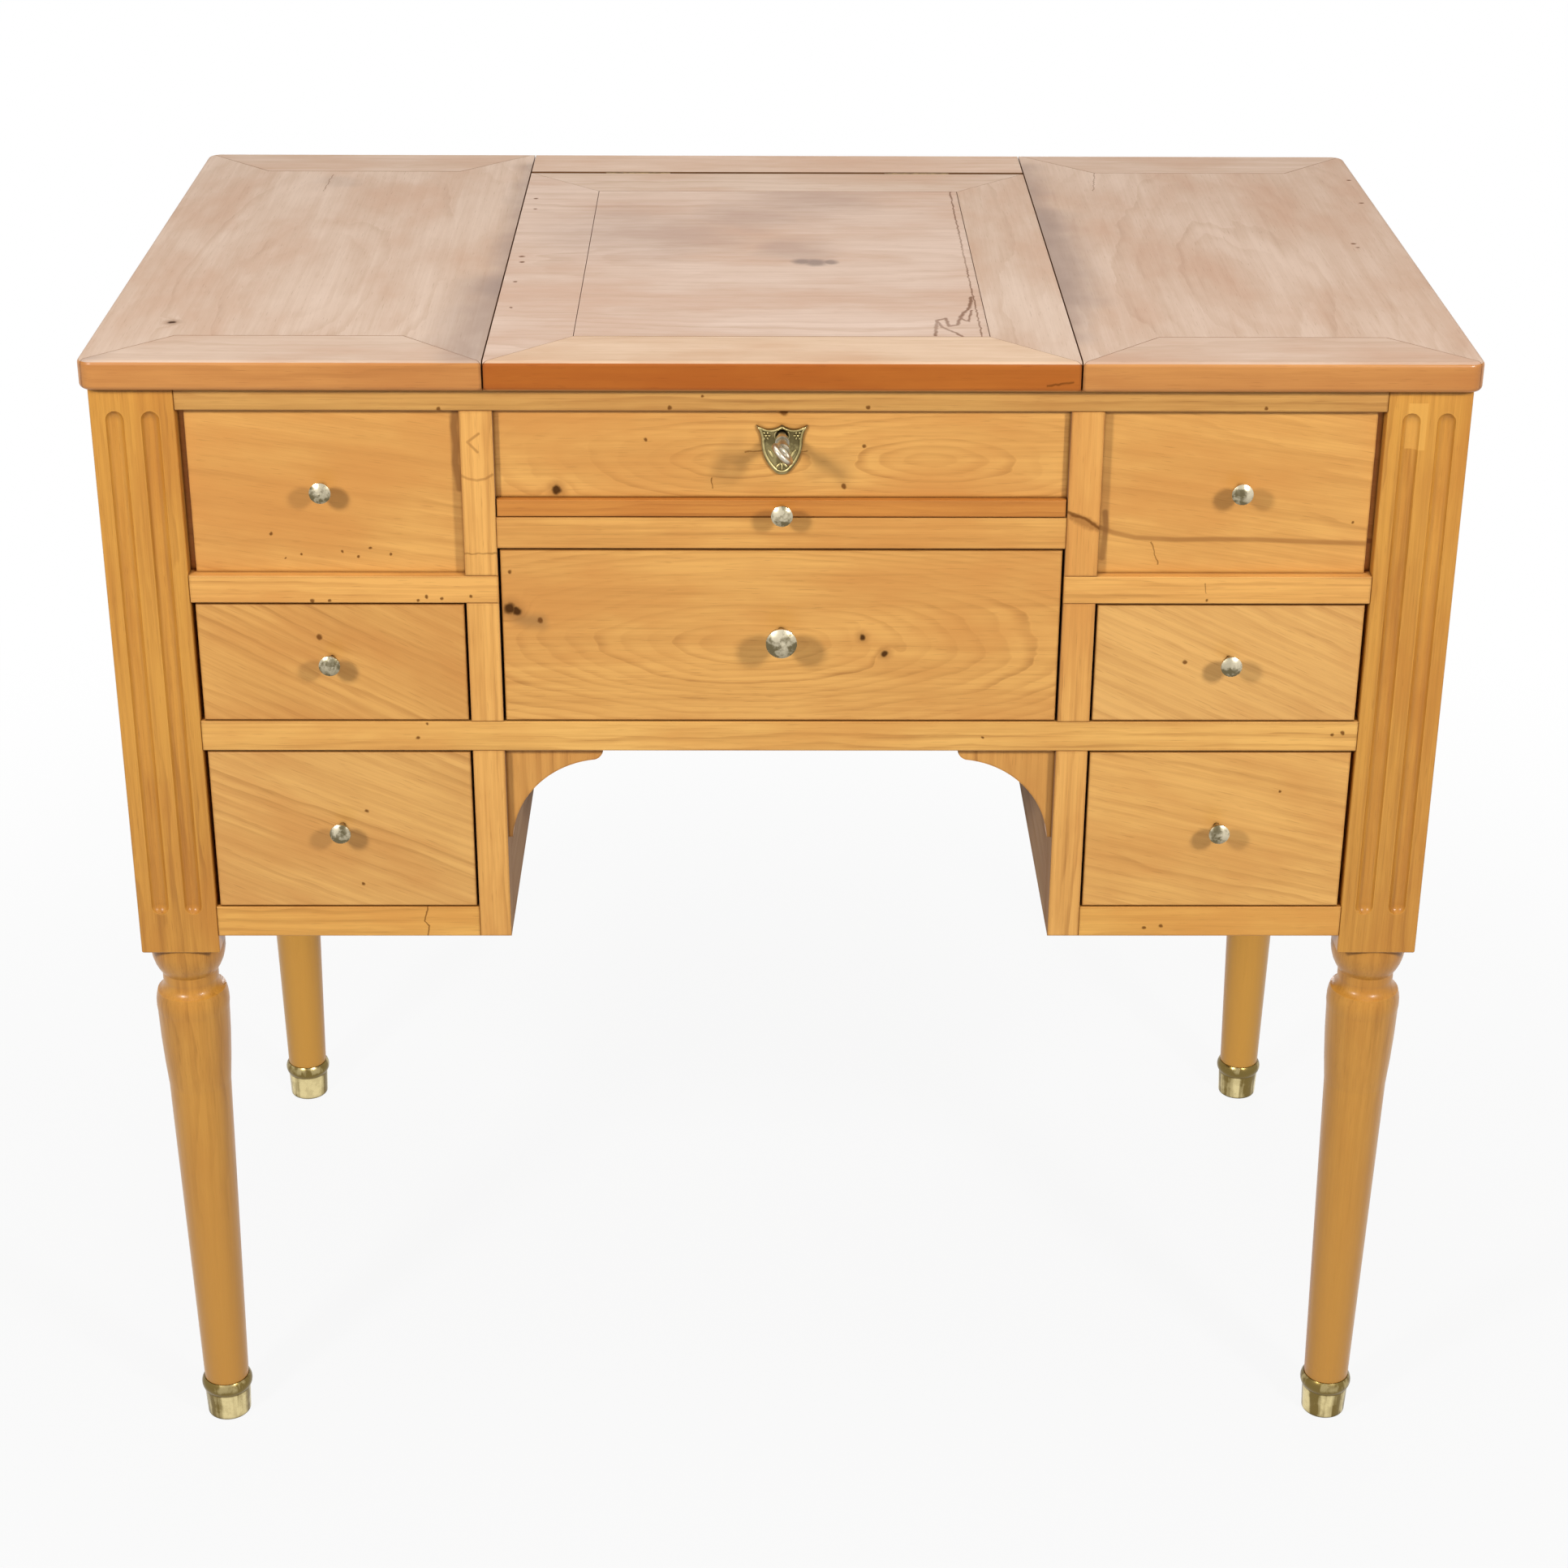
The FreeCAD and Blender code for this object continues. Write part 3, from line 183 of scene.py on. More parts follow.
class Shader:
    """A material under construction: adds nodes and links what is handed to them."""

    def __init__(self, name):
        self.material = bpy.data.materials.new(name)
        self.material.use_nodes = True
        self.tree = self.material.node_tree
        self.tree.nodes.clear()
        self.point = self.node("ShaderNodeTexCoord", {}, 3)

    def node(self, kind, inputs, output=0, **settings):
        item = self.tree.nodes.new(kind)
        for key, value in settings.items():
            setattr(item, key, value)
        for key, value in inputs.items():
            if isinstance(value, bpy.types.NodeSocket):
                self.tree.links.new(value, item.inputs[key])
            else:
                item.inputs[key].default_value = value
        return item.outputs[output]

    def math(self, operation, a, b=0.0, clamp=False):
        return self.node("ShaderNodeMath", {0: a, 1: b}, operation=operation, use_clamp=clamp)

    def plus(self, a, b):
        return self.math("ADD", a, b)

    def times(self, a, b):
        return self.math("MULTIPLY", a, b)

    def vector(self, operation, a, b, output=0):
        return self.node("ShaderNodeVectorMath", {0: a, 1: b}, output, operation=operation)

    def dot(self, a, b):
        return self.vector("DOT_PRODUCT", a, b, 1)

    def distance(self, a, b):
        return self.vector("DISTANCE", a, b, 1)

    def length(self, vector):
        return self.node("ShaderNodeVectorMath", {0: vector}, 1, operation="LENGTH")

    def combine(self, x, y, z):
        return self.node("ShaderNodeCombineXYZ", {0: x, 1: y, 2: z})

    def noise(self, vector, scale=1.0, detail=2.0, roughness=0.5, output=0):
        inputs = {"Vector": vector, "Scale": scale, "Detail": detail, "Roughness": roughness}
        return self.node("ShaderNodeTexNoise", inputs, output)

    def span(self, value, low, high, to_low=0.0, to_high=1.0):
        inputs = {0: value, 1: low, 2: high, 3: to_low, 4: to_high}
        return self.node("ShaderNodeMapRange", inputs, interpolation_type="SMOOTHSTEP")

    def mix(self, factor, a, b):
        a = a if isinstance(a, bpy.types.NodeSocket) else (*a, 1.0)
        b = b if isinstance(b, bpy.types.NodeSocket) else (*b, 1.0)
        return self.node("ShaderNodeMix", {0: factor, 6: a, 7: b}, 2, data_type="RGBA")

    def centred(self, value, share):
        """A noise value moved to lie round nought, times a share."""
        return self.times(self.math("SUBTRACT", value, 0.5), share)

    def most(self, values):
        highest = values[0]
        for value in values[1:]:
            highest = self.math("MAXIMUM", highest, value)
        return highest

    def normal(self):
        return self.node("ShaderNodeNewGeometry", {}, 1)

    def crevice(self, distance):
        """Near 1 in corners and gaps, 0 on open faces."""
        inputs = {"Distance": distance}
        open_share = self.node("ShaderNodeAmbientOcclusion", inputs, 1, samples=CREVICE_SAMPLES)
        return self.span(open_share, *CREVICE_RANGE)

    def rubbed(self, width):
        """Near 1 along outer edges, 0 on open faces."""
        rounded = self.node("ShaderNodeBevel", {"Radius": width}, samples=EDGE_SAMPLES)
        return self.span(self.dot(rounded, self.normal()), *RUBBED_RANGE)

    def bump(self, height, strength, distance):
        inputs = {"Strength": strength, "Distance": distance, "Height": height}
        return self.node("ShaderNodeBump", inputs)

    def seen(self):
        """1 for rays that show the surroundings straight, mirrored or through glass."""
        path = self.tree.nodes.new("ShaderNodeLightPath")
        shown = self.plus(path.outputs["Is Camera Ray"], path.outputs["Is Glossy Ray"])
        return self.math("ADD", shown, path.outputs["Is Transmission Ray"], clamp=True)

    def surface(self, **inputs):
        names = {key.replace("_", " "): value for key, value in inputs.items()}
        return self.node("ShaderNodeBsdfPrincipled", names)

    def finish(self, shader):
        out = self.tree.nodes.new("ShaderNodeOutputMaterial")
        self.tree.links.new(shader, out.inputs["Surface"])
        return self.material

    def from_line(self, point, start, end):
        """Distance from a straight line between two places."""
        run = end - start
        share = run / run.length_squared
        along = self.math("SUBTRACT", self.dot(point, share), start.dot(share), clamp=True)
        inputs = {0: run, 1: along, 2: start}
        nearest = self.node("ShaderNodeVectorMath", inputs, operation="MULTIPLY_ADD")
        return self.distance(point, nearest)


class Wood(Shader):
    """Wood under construction: places along and across its grain, and on the plane of its marks."""

    def __init__(self, name, along, across, seed, plane):
        super().__init__(name)
        self.along = along
        self.across = across
        self.plane = plane
        self.u = self.dot(self.point, along)
        self.v = self.dot(self.point, across)
        self.w = self.dot(self.point, along.cross(across))
        self.seeded = self.plus(self.u, seed * SEED_STRIDE)
        self.flat = self.vector("MULTIPLY", self.point, plane)
        jitter = self.stray(JITTER_SCALE)
        drift = self.stray(DRIFT_SCALE)
        self.ragged = self.moved(jitter, JITTER_REACH)
        self.soft = self.moved(drift, STAIN_DRIFT)
        self.wavy = self.moved(drift, BAND_DRIFT)

    def stray(self, scale):
        noise = self.noise(self.point, scale, output=1)
        return self.vector("SUBTRACT", noise, (0.5, 0.5, 0.5))

    def moved(self, stray, reach):
        """Places on the plane of the marks, moved about by a reach."""
        return self.vector("ADD", self.flat, self.vector("MULTIPLY", stray, self.plane * reach))

    def grain(self, layer):
        """Noise drawn out along the grain."""
        along_scale, across_scale, detail, roughness = layer
        stretched = self.combine(self.times(self.seeded, along_scale),
                                 self.times(self.v, across_scale),
                                 self.times(self.w, across_scale))
        return self.noise(stretched, 1.0, detail, roughness)

    def round_ovals(self, ovals, ring):
        """Distance from the nearest of some long ovals, blended where they meet."""
        hearts = []
        for oval in ovals:
            du = self.times(self.math("SUBTRACT", self.u, oval.dot(self.along)), OVAL_SQUASH)
            dv = self.math("SUBTRACT", self.v, oval.dot(self.across))
            hearts.append(self.length(self.combine(du, dv, 0.0)))
        nearest = hearts[0]
        for heart in hearts[1:]:
            inputs = {0: nearest, 1: heart, 2: ring * OVAL_BLEND}
            nearest = self.node("ShaderNodeMath", inputs, operation="SMOOTH_MIN")
        return nearest

    def year_rings(self, ring, warp, ovals, knots):
        """Counts year rings, drifting along the board and bent round knots."""
        if ovals:
            place = self.round_ovals(ovals, ring)
        else:
            place = self.plus(self.v, self.times(self.w, RING_SLANT))
        rings = self.math("DIVIDE", place, ring)
        rings = self.plus(rings, self.centred(self.grain(RING_DRIFT), warp * RING_DRIFT_SHARE))
        rings = self.plus(rings, self.centred(self.grain(RING_WOBBLE), RING_WOBBLE_SHARE))
        for centre, radius in knots:
            away = self.distance(self.ragged, centre)
            rings = self.plus(rings, self.span(away, 0.0, radius * KNOT_BEND, 1.0, 0.0))
        return self.plus(rings, RING_OFFSET)

    def late_wood(self, rings, contrast):
        """Dark late wood of each ring, stronger in some years and places."""
        step = self.math("FRACT", rings)
        late = self.times(self.span(step, *LATE_RISE), self.span(step, *LATE_FALL))
        inputs = {"W": self.math("FLOOR", rings)}
        year = self.node("ShaderNodeTexWhiteNoise", inputs, noise_dimensions="1D")
        strength = self.span(self.grain(RING_STRENGTH), *STRENGTH_RANGE)
        strength = self.times(strength, self.span(year, *YEAR_RANGE))
        return self.times(self.math("SUBTRACT", late, LATE_BALANCE), self.times(strength, contrast))

    def spots(self, where, places, edge=SPOT_EDGE):
        """Near 1 at round places, given as (centre, radius) pairs."""
        found = []
        for centre, radius in places:
            away = self.distance(where, centre)
            found.append(self.span(away, radius * SPOT_CORE, radius * edge, 1.0, 0.0))
        return self.most(found)

    def lines(self, where, places, width, strength, core=0.0):
        """A value for each straight line of a run, at its strength on the line."""
        return [self.span(self.from_line(where, start, end), width * core, width, strength, 0.0)
                for start, end in zip(places, places[1:])]

    def inside(self, centre, half):
        """1 within a rectangle on the plane of the marks."""
        offset = self.vector("SUBTRACT", self.flat, centre)
        away = self.node("ShaderNodeVectorMath", {0: offset}, operation="ABSOLUTE")
        split = self.node("ShaderNodeSeparateXYZ", {0: self.vector("SUBTRACT", away, half)}).node
        beyond = self.most([split.outputs[i] for i in range(3) if self.plane[i]])
        return self.math("LESS_THAN", beyond, 0.0)


def tinted(colour, share):
    return tuple(min(1.0, c * k) for c, k in zip(colour, share))


def add_marks(s, colour, marks, blotch, shades):
    """Lays marks over a wood's colour; returns it and the marks that take away the shine."""
    dull = []
    for centre, half in marks.get("patches", ()):
        colour = s.mix(s.times(s.inside(centre, half), PATCH_STRENGTH), colour, shades["patch"])
    if "stains" in marks:
        stain = s.times(s.spots(s.soft, marks["stains"], STAIN_EDGE), s.span(blotch, *STAIN_BLOTCH))
        colour = s.mix(stain, colour, shades["stain"])
    for places, width in marks.get("bands", ()):
        band = s.most(s.lines(s.wavy, places, width, BAND_STRENGTH))
        colour = s.mix(s.times(band, s.span(blotch, *BAND_BLOTCH)), colour, shades["stain"])
    if "smudges" in marks:
        smudge = s.times(s.spots(s.ragged, marks["smudges"], SMUDGE_EDGE), SMUDGE_STRENGTH)
        colour = s.mix(smudge, colour, shades["smudge"])
    for places, width in marks.get("seams", ()):
        seam = s.most(s.lines(s.flat, places, width, SEAM_STRENGTH, SEAM_CORE))
        colour = s.mix(s.times(seam, s.span(blotch, *SEAM_BLOTCH)), colour, shades["dark"])
    if "knots" in marks:
        core = s.times(s.spots(s.ragged, marks["knots"]), KNOT_STRENGTH)
        halo = s.times(s.spots(s.ragged, marks["knots"], HALO_EDGE), HALO_STRENGTH)
        colour = s.mix(halo, colour, shades["dark"])
        colour = s.mix(core, colour, KNOT_COLOUR)
        dull.append(core)
    if "holes" in marks:
        pits = s.times(s.spots(s.ragged, marks["holes"]), HOLE_STRENGTH)
        colour = s.mix(pits, colour, CRACK_COLOUR)
        dull.append(pits)
    if "cracks" in marks:
        lines = []
        for places, width in marks["cracks"]:
            lines += s.lines(s.ragged, places, width, CRACK_STRENGTH, CRACK_CORE)
        crack = s.times(s.most(lines), s.span(blotch, *CRACK_BLOTCH))
        colour = s.mix(crack, colour, CRACK_COLOUR)
        dull.append(crack)
    return colour, dull


def wood(name, tone, along, across, seed, ring=10 * MM, warp=1.6, contrast=0.55, ovals=(),
         marks=None, plane=FRONT_PLANE, tint=UNTINTED, worn_edges=False, streaks=1.0, edges=1.0,
         painted_light_below=None, dirt_and_shade_reach=2.5 * MM):
    """Waxed wood with its grain along one direction and its year rings spaced across another.

    ovals are places that long ring ovals lie around, and marks lie on the given plane. Edges are
    darker, or rubbed pale if they are worn. streaks and edges are shares of their usual strength.
    From the height painted_light_below the wood is painted paler towards the floor, as painted light,
    and painted shade with dirt reaches dirt_and_shade_reach out of corners.
    """
    tones = TONES[tone]
    middle = tinted(tones["colour"], tint)
    pale = tinted(middle, PALE_SHARE)
    dark = tinted(middle, DARK_SHARE)
    shades = {
        "dark": dark,
        "patch": tinted(middle, PATCH_SHARE),
        "stain": tinted(middle, STAIN_SHARE),
        "smudge": tinted(middle, SMUDGE_SHARE) if tone == "top" else dark,
    }
    marks = marks or {}
    s = Wood(name, along, across, seed, plane)

    # Year rings, streaks, fibres, blotches and flecks
    rings = s.year_rings(ring, warp, ovals, marks.get("knots", ()))
    shade = s.late_wood(rings, contrast)
    streak = s.grain(STREAK)
    fine = s.grain(FINE)
    fibre = s.grain(FIBRE)
    blotch = s.grain(BLOTCH)
    layers = ((streak, STREAK_SHARE * streaks), (fine, FINE_SHARE * streaks),
              (fibre, FIBRE_SHARE * streaks), (blotch, BLOTCH_SHARE))
    for layer, share in layers:
        shade = s.plus(shade, s.centred(layer, share))
    colour = s.mix(s.span(shade, *PALE_RANGE), pale, middle)
    colour = s.mix(s.span(shade, *DARK_RANGE), colour, dark)
    colour = s.mix(s.span(blotch, *WARM_RANGE), colour, tinted(middle, WARM_SHARE))
    flecks = s.span(s.grain(FLECK), *FLECK_RANGE)
    colour = s.mix(s.times(flecks, FLECK_STRENGTH), colour, dark)
    # Painted light: paler from a height down to the floor
    if painted_light_below:
        height = s.dot(s.point, Z)
        colour = s.mix(s.span(height, 0.0, painted_light_below, 1.0, 0.0), colour, pale)

    # Wear of edges, and painted shade with dirt in corners and gaps, both left out along closed joints
    wear = s.span(streak, *EDGE_STREAKS, EDGE_LEAST * edges, EDGE_MOST * edges)
    wear = s.times(s.rubbed(EDGE_WIDTH), wear)
    dirt_and_shade = s.times(s.crevice(dirt_and_shade_reach), DIRT_AND_SHADE_STRENGTH)
    for (start, end), width in marks.get("closed", ()):
        joint = s.span(s.from_line(s.flat, start, end), width, width * CLOSED_EDGE)
        wear = s.times(wear, joint)
        dirt_and_shade = s.times(dirt_and_shade, joint)
    colour = s.mix(wear, colour, pale if worn_edges else dark)
    colour, dull = add_marks(s, colour, marks, blotch, shades)
    # Painted shade, with dirt, darkens corners and gaps
    colour = s.mix(dirt_and_shade, colour, DIRT_AND_SHADE_COLOUR)

    shine = s.math("SUBTRACT", 1.0, s.most([dirt_and_shade, *dull]))
    relief = s.plus(s.times(fine, FINE_RELIEF), s.times(fibre, FIBRE_RELIEF))
    rough = s.plus(s.centred(streak, ROUGHNESS_STREAK), tones["rough"])
    return s.finish(s.surface(Base_Color=colour, Roughness=rough,
                              Specular_IOR_Level=s.times(shine, tones["specular"]),
                              Coat_Weight=s.times(shine, tones["coat"]),
                              Coat_Roughness=COAT_ROUGHNESS,
                              Normal=s.bump(relief, RELIEF_STRENGTH, RELIEF_DEPTH)))


# Wear of the metal, its painted reflection bands and painted shade: noise as scale, detail and
# roughness, then ranges and strengths
CLOUD = (140.0, 4.0, 0.62)
CLOUD_RANGE = (0.42, 0.60)
SCRATCH_STRETCH = (300.0, 2400.0, 900.0)
REFLECTION_BAND_STRETCH = (110.0, 110.0, 7.0)
REFLECTION_BAND_NOISE = (1.0, 3.0, 0.6)
REFLECTION_BAND_RANGE = (0.40, 0.62)
UNDERSIDE_SHADE_RANGE = (-0.75, 0.15, 0.75, 0.0)
DARKER_ABOVE_SHARE = 0.65
DARKER_ABOVE_FADE = 1 * MM
METAL_CREVICE = 4 * MM
METAL_DIRT_AND_SHADE = (0.05, 0.032, 0.012)
METAL_DIRT_AND_SHADE_STRENGTH = 0.8
CLOUD_ROUGHNESS = 0.18
SCRATCH_ROUGHNESS = 0.08
SCRATCH_STRENGTH = 0.12
SCRATCH_DEPTH = 0.1 * MM


def metal(name, bright, dull, rough, spots=0.5, streaks=0.0, dull_above=None):
    """Worn metal: bright with dull spots, with painted shade on its undersides and painted shade with
    tarnish in its corners.

    spots is the share of dull spots and streaks that of upright bands of painted reflection. Above the
    height dull_above the metal is darker.
    """
    s = Shader(name)
    cloud = s.noise(s.point, *CLOUD)
    scratch = s.noise(s.vector("MULTIPLY", s.point, SCRATCH_STRETCH))
    # Upright bands of painted reflection
    drawn = s.noise(s.vector("MULTIPLY", s.point, REFLECTION_BAND_STRETCH), *REFLECTION_BAND_NOISE)
    # Painted shade: faces that look down are darker
    under = s.span(s.dot(s.normal(), Z), *UNDERSIDE_SHADE_RANGE)
    worn = s.plus(s.span(cloud, *CLOUD_RANGE, 0.0, spots), s.span(drawn, *REFLECTION_BAND_RANGE, 0.0, streaks))
    # Darker above the height dull_above
    if dull_above:
        height = s.dot(s.point, Z)
        under = s.plus(under, s.span(height, dull_above - DARKER_ABOVE_FADE, dull_above, 0.0, DARKER_ABOVE_SHARE))
    worn = s.math("ADD", worn, under, clamp=True)
    colour = s.mix(worn, bright, dull)
    # Painted shade, with tarnish and dirt, in corners and gaps
    dirt_and_shade = s.times(s.crevice(METAL_CREVICE), METAL_DIRT_AND_SHADE_STRENGTH)
    colour = s.mix(dirt_and_shade, colour, METAL_DIRT_AND_SHADE)
    roughness = s.plus(s.times(cloud, CLOUD_ROUGHNESS), rough)
    roughness = s.plus(roughness, s.times(scratch, SCRATCH_ROUGHNESS))
    return s.finish(s.surface(Base_Color=colour, Metallic=1.0, Roughness=roughness,
                              Normal=s.bump(scratch, SCRATCH_STRENGTH, SCRATCH_DEPTH)))


# Mirror: noise of its bloom, the bloom's range and strengths, and both colours
BLOOM = (30.0, 5.0, 0.65)
BLOOM_RANGE = (0.50, 0.80)
BLOOM_STRENGTH = 0.35
BLOOM_ROUGHNESS = 0.12
SILVER_COLOUR = (0.86, 0.88, 0.88)
BLOOM_COLOUR = (0.52, 0.53, 0.50)


def mirror_glass(name):
    """Old silvered glass with faint grey bloom."""
    s = Shader(name)
    bloom = s.span(s.noise(s.point, *BLOOM), *BLOOM_RANGE)
    colour = s.mix(s.times(bloom, BLOOM_STRENGTH), SILVER_COLOUR, BLOOM_COLOUR)
    roughness = s.times(bloom, BLOOM_ROUGHNESS)
    return s.finish(s.surface(Base_Color=colour, Metallic=1.0, Roughness=roughness))


# Floor: noise of its paint, both greys, and plain white's share by distance from the middle
FLOOR_NOISE = (3.0, 3.0)
FLOOR_TINT = 0.3
FLOOR_PALE = (0.46, 0.46, 0.46)
FLOOR_GREY = (0.43, 0.43, 0.43)
FLOOR_ROUGHNESS = 0.8
FLOOR_WHITE = (0.4, 1.4, 0.91, 1.0)
FLOOR_HALF = 8.0
WHITE = (1.0, 1.0, 1.0, 1.0)


def floor_paint(name):
    """A pale floor that fades to plain white away from the table."""
    s = Shader(name)
    colour = s.mix(s.times(s.noise(s.point, *FLOOR_NOISE), FLOOR_TINT), FLOOR_PALE, FLOOR_GREY)
    painted = s.surface(Base_Color=colour, Roughness=FLOOR_ROUGHNESS)
    white = s.node("ShaderNodeEmission", {"Color": WHITE, "Strength": 1.0})
    share = s.times(s.seen(), s.span(s.length(s.point), *FLOOR_WHITE))
    return s.finish(s.node("ShaderNodeMixShader", {0: share, 1: painted, 2: white}))


# Marks of age, and painted shadows beside the stiles, in millimetres, placed by x and z on the front
# and by x and depth on the top.
# Spots and patches are a place and a radius or half size, lines a width and places
PANEL_TONGUE = 6.0
LID_LEFT_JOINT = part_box("lid_panel")[0].x / MM + PANEL_TONGUE
LINES = ("cracks", "seams", "bands", "closed")
FRONT_MARKS = {
    "front_right_leg": {"patches": [(360.3, 699.9, Vector((5.5, 1, 14)))]},
    "centre_drawer_front": {
        "knots": [(-158, 588, 3.4), (-154, 586, 2.6), (47.7, 570, 1.9), (60.7, 559.6, 2.1)],
        "holes": [(-157, 610.9, 1.2), (-140.7, 580.5, 1.6)],
        "bands": [(9, (-154, 585), (-140, 580))],
    },
    "lock_panel": {
        "knots": [(-129, 659.7, 2.6)],
        "holes": [(1.1, 706.6, 2.4), (35.6, 661.9, 1.5), (-77.6, 690, 1.2), (46.8, 686.4, 1.2)],
        "cracks": [
            (0.7, (-20.5, 682.9), (-10.5, 682.9)),
            (0.7, (10.5, 682.9), (14.5, 682.9)),
            (0.6, (-40, 660.5), (-40, 667)),
        ],
        "stains": [(-27, 678, 6), (30.8, 675.6, 5)],
    },
    "false_fronts": {
        "holes": [(-294, 632, 1.1), (-254, 621.3, 0.8), (-245, 618.3, 0.8), (-237.6, 623.3, 0.9),
                  (-226, 619.3, 0.8), (-277.5, 619.3, 0.8), (-287, 616.8, 0.7), (330, 640, 0.9)],
        "cracks": [(0.6, (214, 627.9), (218.6, 613.9))],
        "seams": [
            (2.2, (183, 637), (192, 633.5), (204.6, 630.5), (228, 629.2), (250, 629.6),
             (275, 629.4), (310, 627.8), (342, 627)),
            # The two upright seams beside the stiles are painted shadow cast by the stiles, with a
            # brown stain
            (3.0, (-185, 709), (-186.5, 697), (-185.5, 686), (-186.5, 676), (-184.5, 660)),
            (2.6, (186.5, 646), (187.5, 637), (186, 618)),
        ],
    },
    "left_middle_drawer_front": {"holes": [(-269.8, 569.6, 1.6)]},
    "left_lower_drawer_front": {"holes": [(-248, 456.8, 1.2), (-253, 407.4, 1.1)]},
    "right_middle_drawer_front": {"holes": [(237.3, 554.6, 1.3)]},
    "right_lower_drawer_front": {"holes": [(300, 470, 0.9)]},
    "front_stiles": {
        "smudges": [(167, 645.5, 1.8), (170, 644.4, 2.3), (173, 643, 2.6), (176, 641.6, 2.6),
                    (179, 640, 2.4), (182, 638.4, 2.0)],
        "cracks": [
            (1.5, (164.4, 648), (175, 644), (184, 637.5)),
            (0.8, (-183, 622.4), (-164, 622.4)),
        ],
        "seams": [
            (1.1, (-172, 695), (-178.5, 690), (-173, 684)),
            (1.1, (-183, 670), (-179, 668), (-174, 667), (-169, 668), (-165, 670.5)),
        ],
    },
    "main_rail": {
        "holes": [(334, 509, 1.3), (328, 508, 1.0), (-215, 505.5, 1.2), (-209, 514.5, 0.9),
                  (120, 506, 0.7)],
    },
    "middle_rails": {
        "holes": [(-206, 595.7, 1.1), (-272, 592.8, 1.4), (-211, 593.2, 0.9), (-197, 594.2, 0.9),
                  (-180, 595.7, 1.0), (-262, 592.8, 1.0), (248, 594, 0.8)],
        "cracks": [(0.5, (246, 604), (247, 598))],
    },
    "top_rail": {
        "holes": [(-63.6, 710.8, 1.4), (-45, 717.5, 1.0), (48.7, 711, 1.3), (-194, 709.8, 1.3),
                  (273.7, 710.9, 1.1)],
    },
    "bottom_rails": {
        "holes": [(223, 378, 1.1), (233, 379, 1.3)],
        "cracks": [(0.7, (-214.5, 392), (-216.4, 382.4), (-214, 379), (-215.3, 372))],
    },
    "lid_end_edges": {"holes": [(-2, 717, 1.6)], "cracks": [(1.1, (149, 726.5), (163, 728.5))]},
}
TOP_MARKS = {
    "lid_panel": {
        "stains": [(8, 223.9, 14), (-90, 259.9, 34), (20, 339.9, 26), (-20, 300, 20)],
        "smudges": [(14, 195, 5), (22, 193, 6), (31, 194, 4)],
        "holes": [(-160, 345, 1.6), (-159, 318, 1.3), (-160, 205, 2.0), (-159, 193, 1.6),
                  (-160, 150, 1.4), (-159, 96, 1.2)],
        "cracks": [
            (1.7, (88, 41.9), (90.8, 71.9), (95.8, 76.4), (97.2, 60.4), (102, 63.9)),
            (1.7, (102, 63.9), (105.7, 82.9), (111.5, 99.4), (113.6, 119.9)),
            (1.4, (90.8, 71.9), (93, 58), (100, 48), (104, 40)),
            (1.2, (104, 76), (109, 70), (112, 92)),
            (0.8, (114.8, 364.9), (114.8, 36.9)),
        ],
        "closed": [(5, (LID_LEFT_JOINT, 40), (LID_LEFT_JOINT, 365))],
    },
    "left_flap_board": {
        "knots": [(-352.7, 65.4, 2.6)],
        "stains": [(-302, 384.9, 9)],
        "bands": [(46, (-174, 0), (-166, 140)), (22, (-164, 120), (-163, 430))],
        "cracks": [(0.5, (-303, 362.9), (-302, 405.9))],
    },
    "left_flap_clamps": {"bands": [(34, (-172, 10), (-168, 60)), (22, (-398, 0), (-385, 60))]},
    "right_flap_board": {
        "holes": [(388, 397.9, 1.6), (386, 338.4, 1.6), (363, 238.9, 1.8), (364, 229.9, 1.3)],
        "bands": [(24, (166, 40), (164, 430)), (34, (172, 120), (170, 300))],
        "cracks": [(0.6, (217.9, 424.9), (211.3, 368.2))],
    },
}


def placed(mark, kind, place):
    """A mark in metres, at its places on the table."""
    if kind in LINES:
        width, *corners = mark
        return [place(a, b) for a, b in corners], width * MM
    a, b, reach = mark
    return place(a, b), reach * MM


MARKS = {}
for table, place in ((FRONT_MARKS, on_front), (TOP_MARKS, on_top)):
    for node, kinds in table.items():
        MARKS[node] = {kind: [placed(mark, kind, place) for mark in marks]
                       for kind, marks in kinds.items()}

# Where the grain of each group of pieces starts, and its step from piece to piece
SEEDS = {
    "legs": (0, 2.3),
    "rails": (5, 1.9),
    "floors": (27, 1.3),
    "guides": (35, 1.3),
    "drawer_fronts": (41, 2.7),
    "drawer_boxes": (55, 3),
}


def seed_of(group, count):
    first, step = SEEDS[group]
    return first + count * step


# Dressing the pieces
def dress(node, *materials):
    mesh = NODES[node].data
    mesh.materials.clear()
    for material in materials:
        mesh.materials.append(material)


def dress_faces(node, materials, pick):
    """Gives a piece named materials; pick names a face's from its middle and the way it looks."""
    dress(node, *materials.values())
    names = list(materials)
    for face in NODES[node].data.polygons:
        face.material_index = names.index(pick(face.center, face.normal))


def board(node, tone, along, across, seed, **options):
    dress(node, wood(node, tone, along, across, seed, marks=MARKS.get(node), **options))


def centre_of(node):
    low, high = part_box(node)
    return (low + high) / 2


TOP_FIGURE = {"ring": 13 * MM, "warp": 2.4, "contrast": 0.30, "plane": TOP_PLANE, "streaks": 0.6,
              "edges": 0.3}
EDGE_FIGURE = {"contrast": 0.30, "streaks": 0.8}
INNER_RING = 14 * MM
BOX_RING = 12 * MM
FLAP_HEART = Y * 0.06
LID_SEED = 75

# Least share of a normal along an axis for a face that looks that way
UP_SHARE = 0.6
FRONT_SHARE = 0.3
STILE_SIDE_SHARE = 0.9
LEG_SIDE_SHARE = 0.99


def looks_up(normal):
    return normal.z > UP_SHARE


def top_or_edge(middle, normal):
    return "top" if looks_up(normal) else "edge"


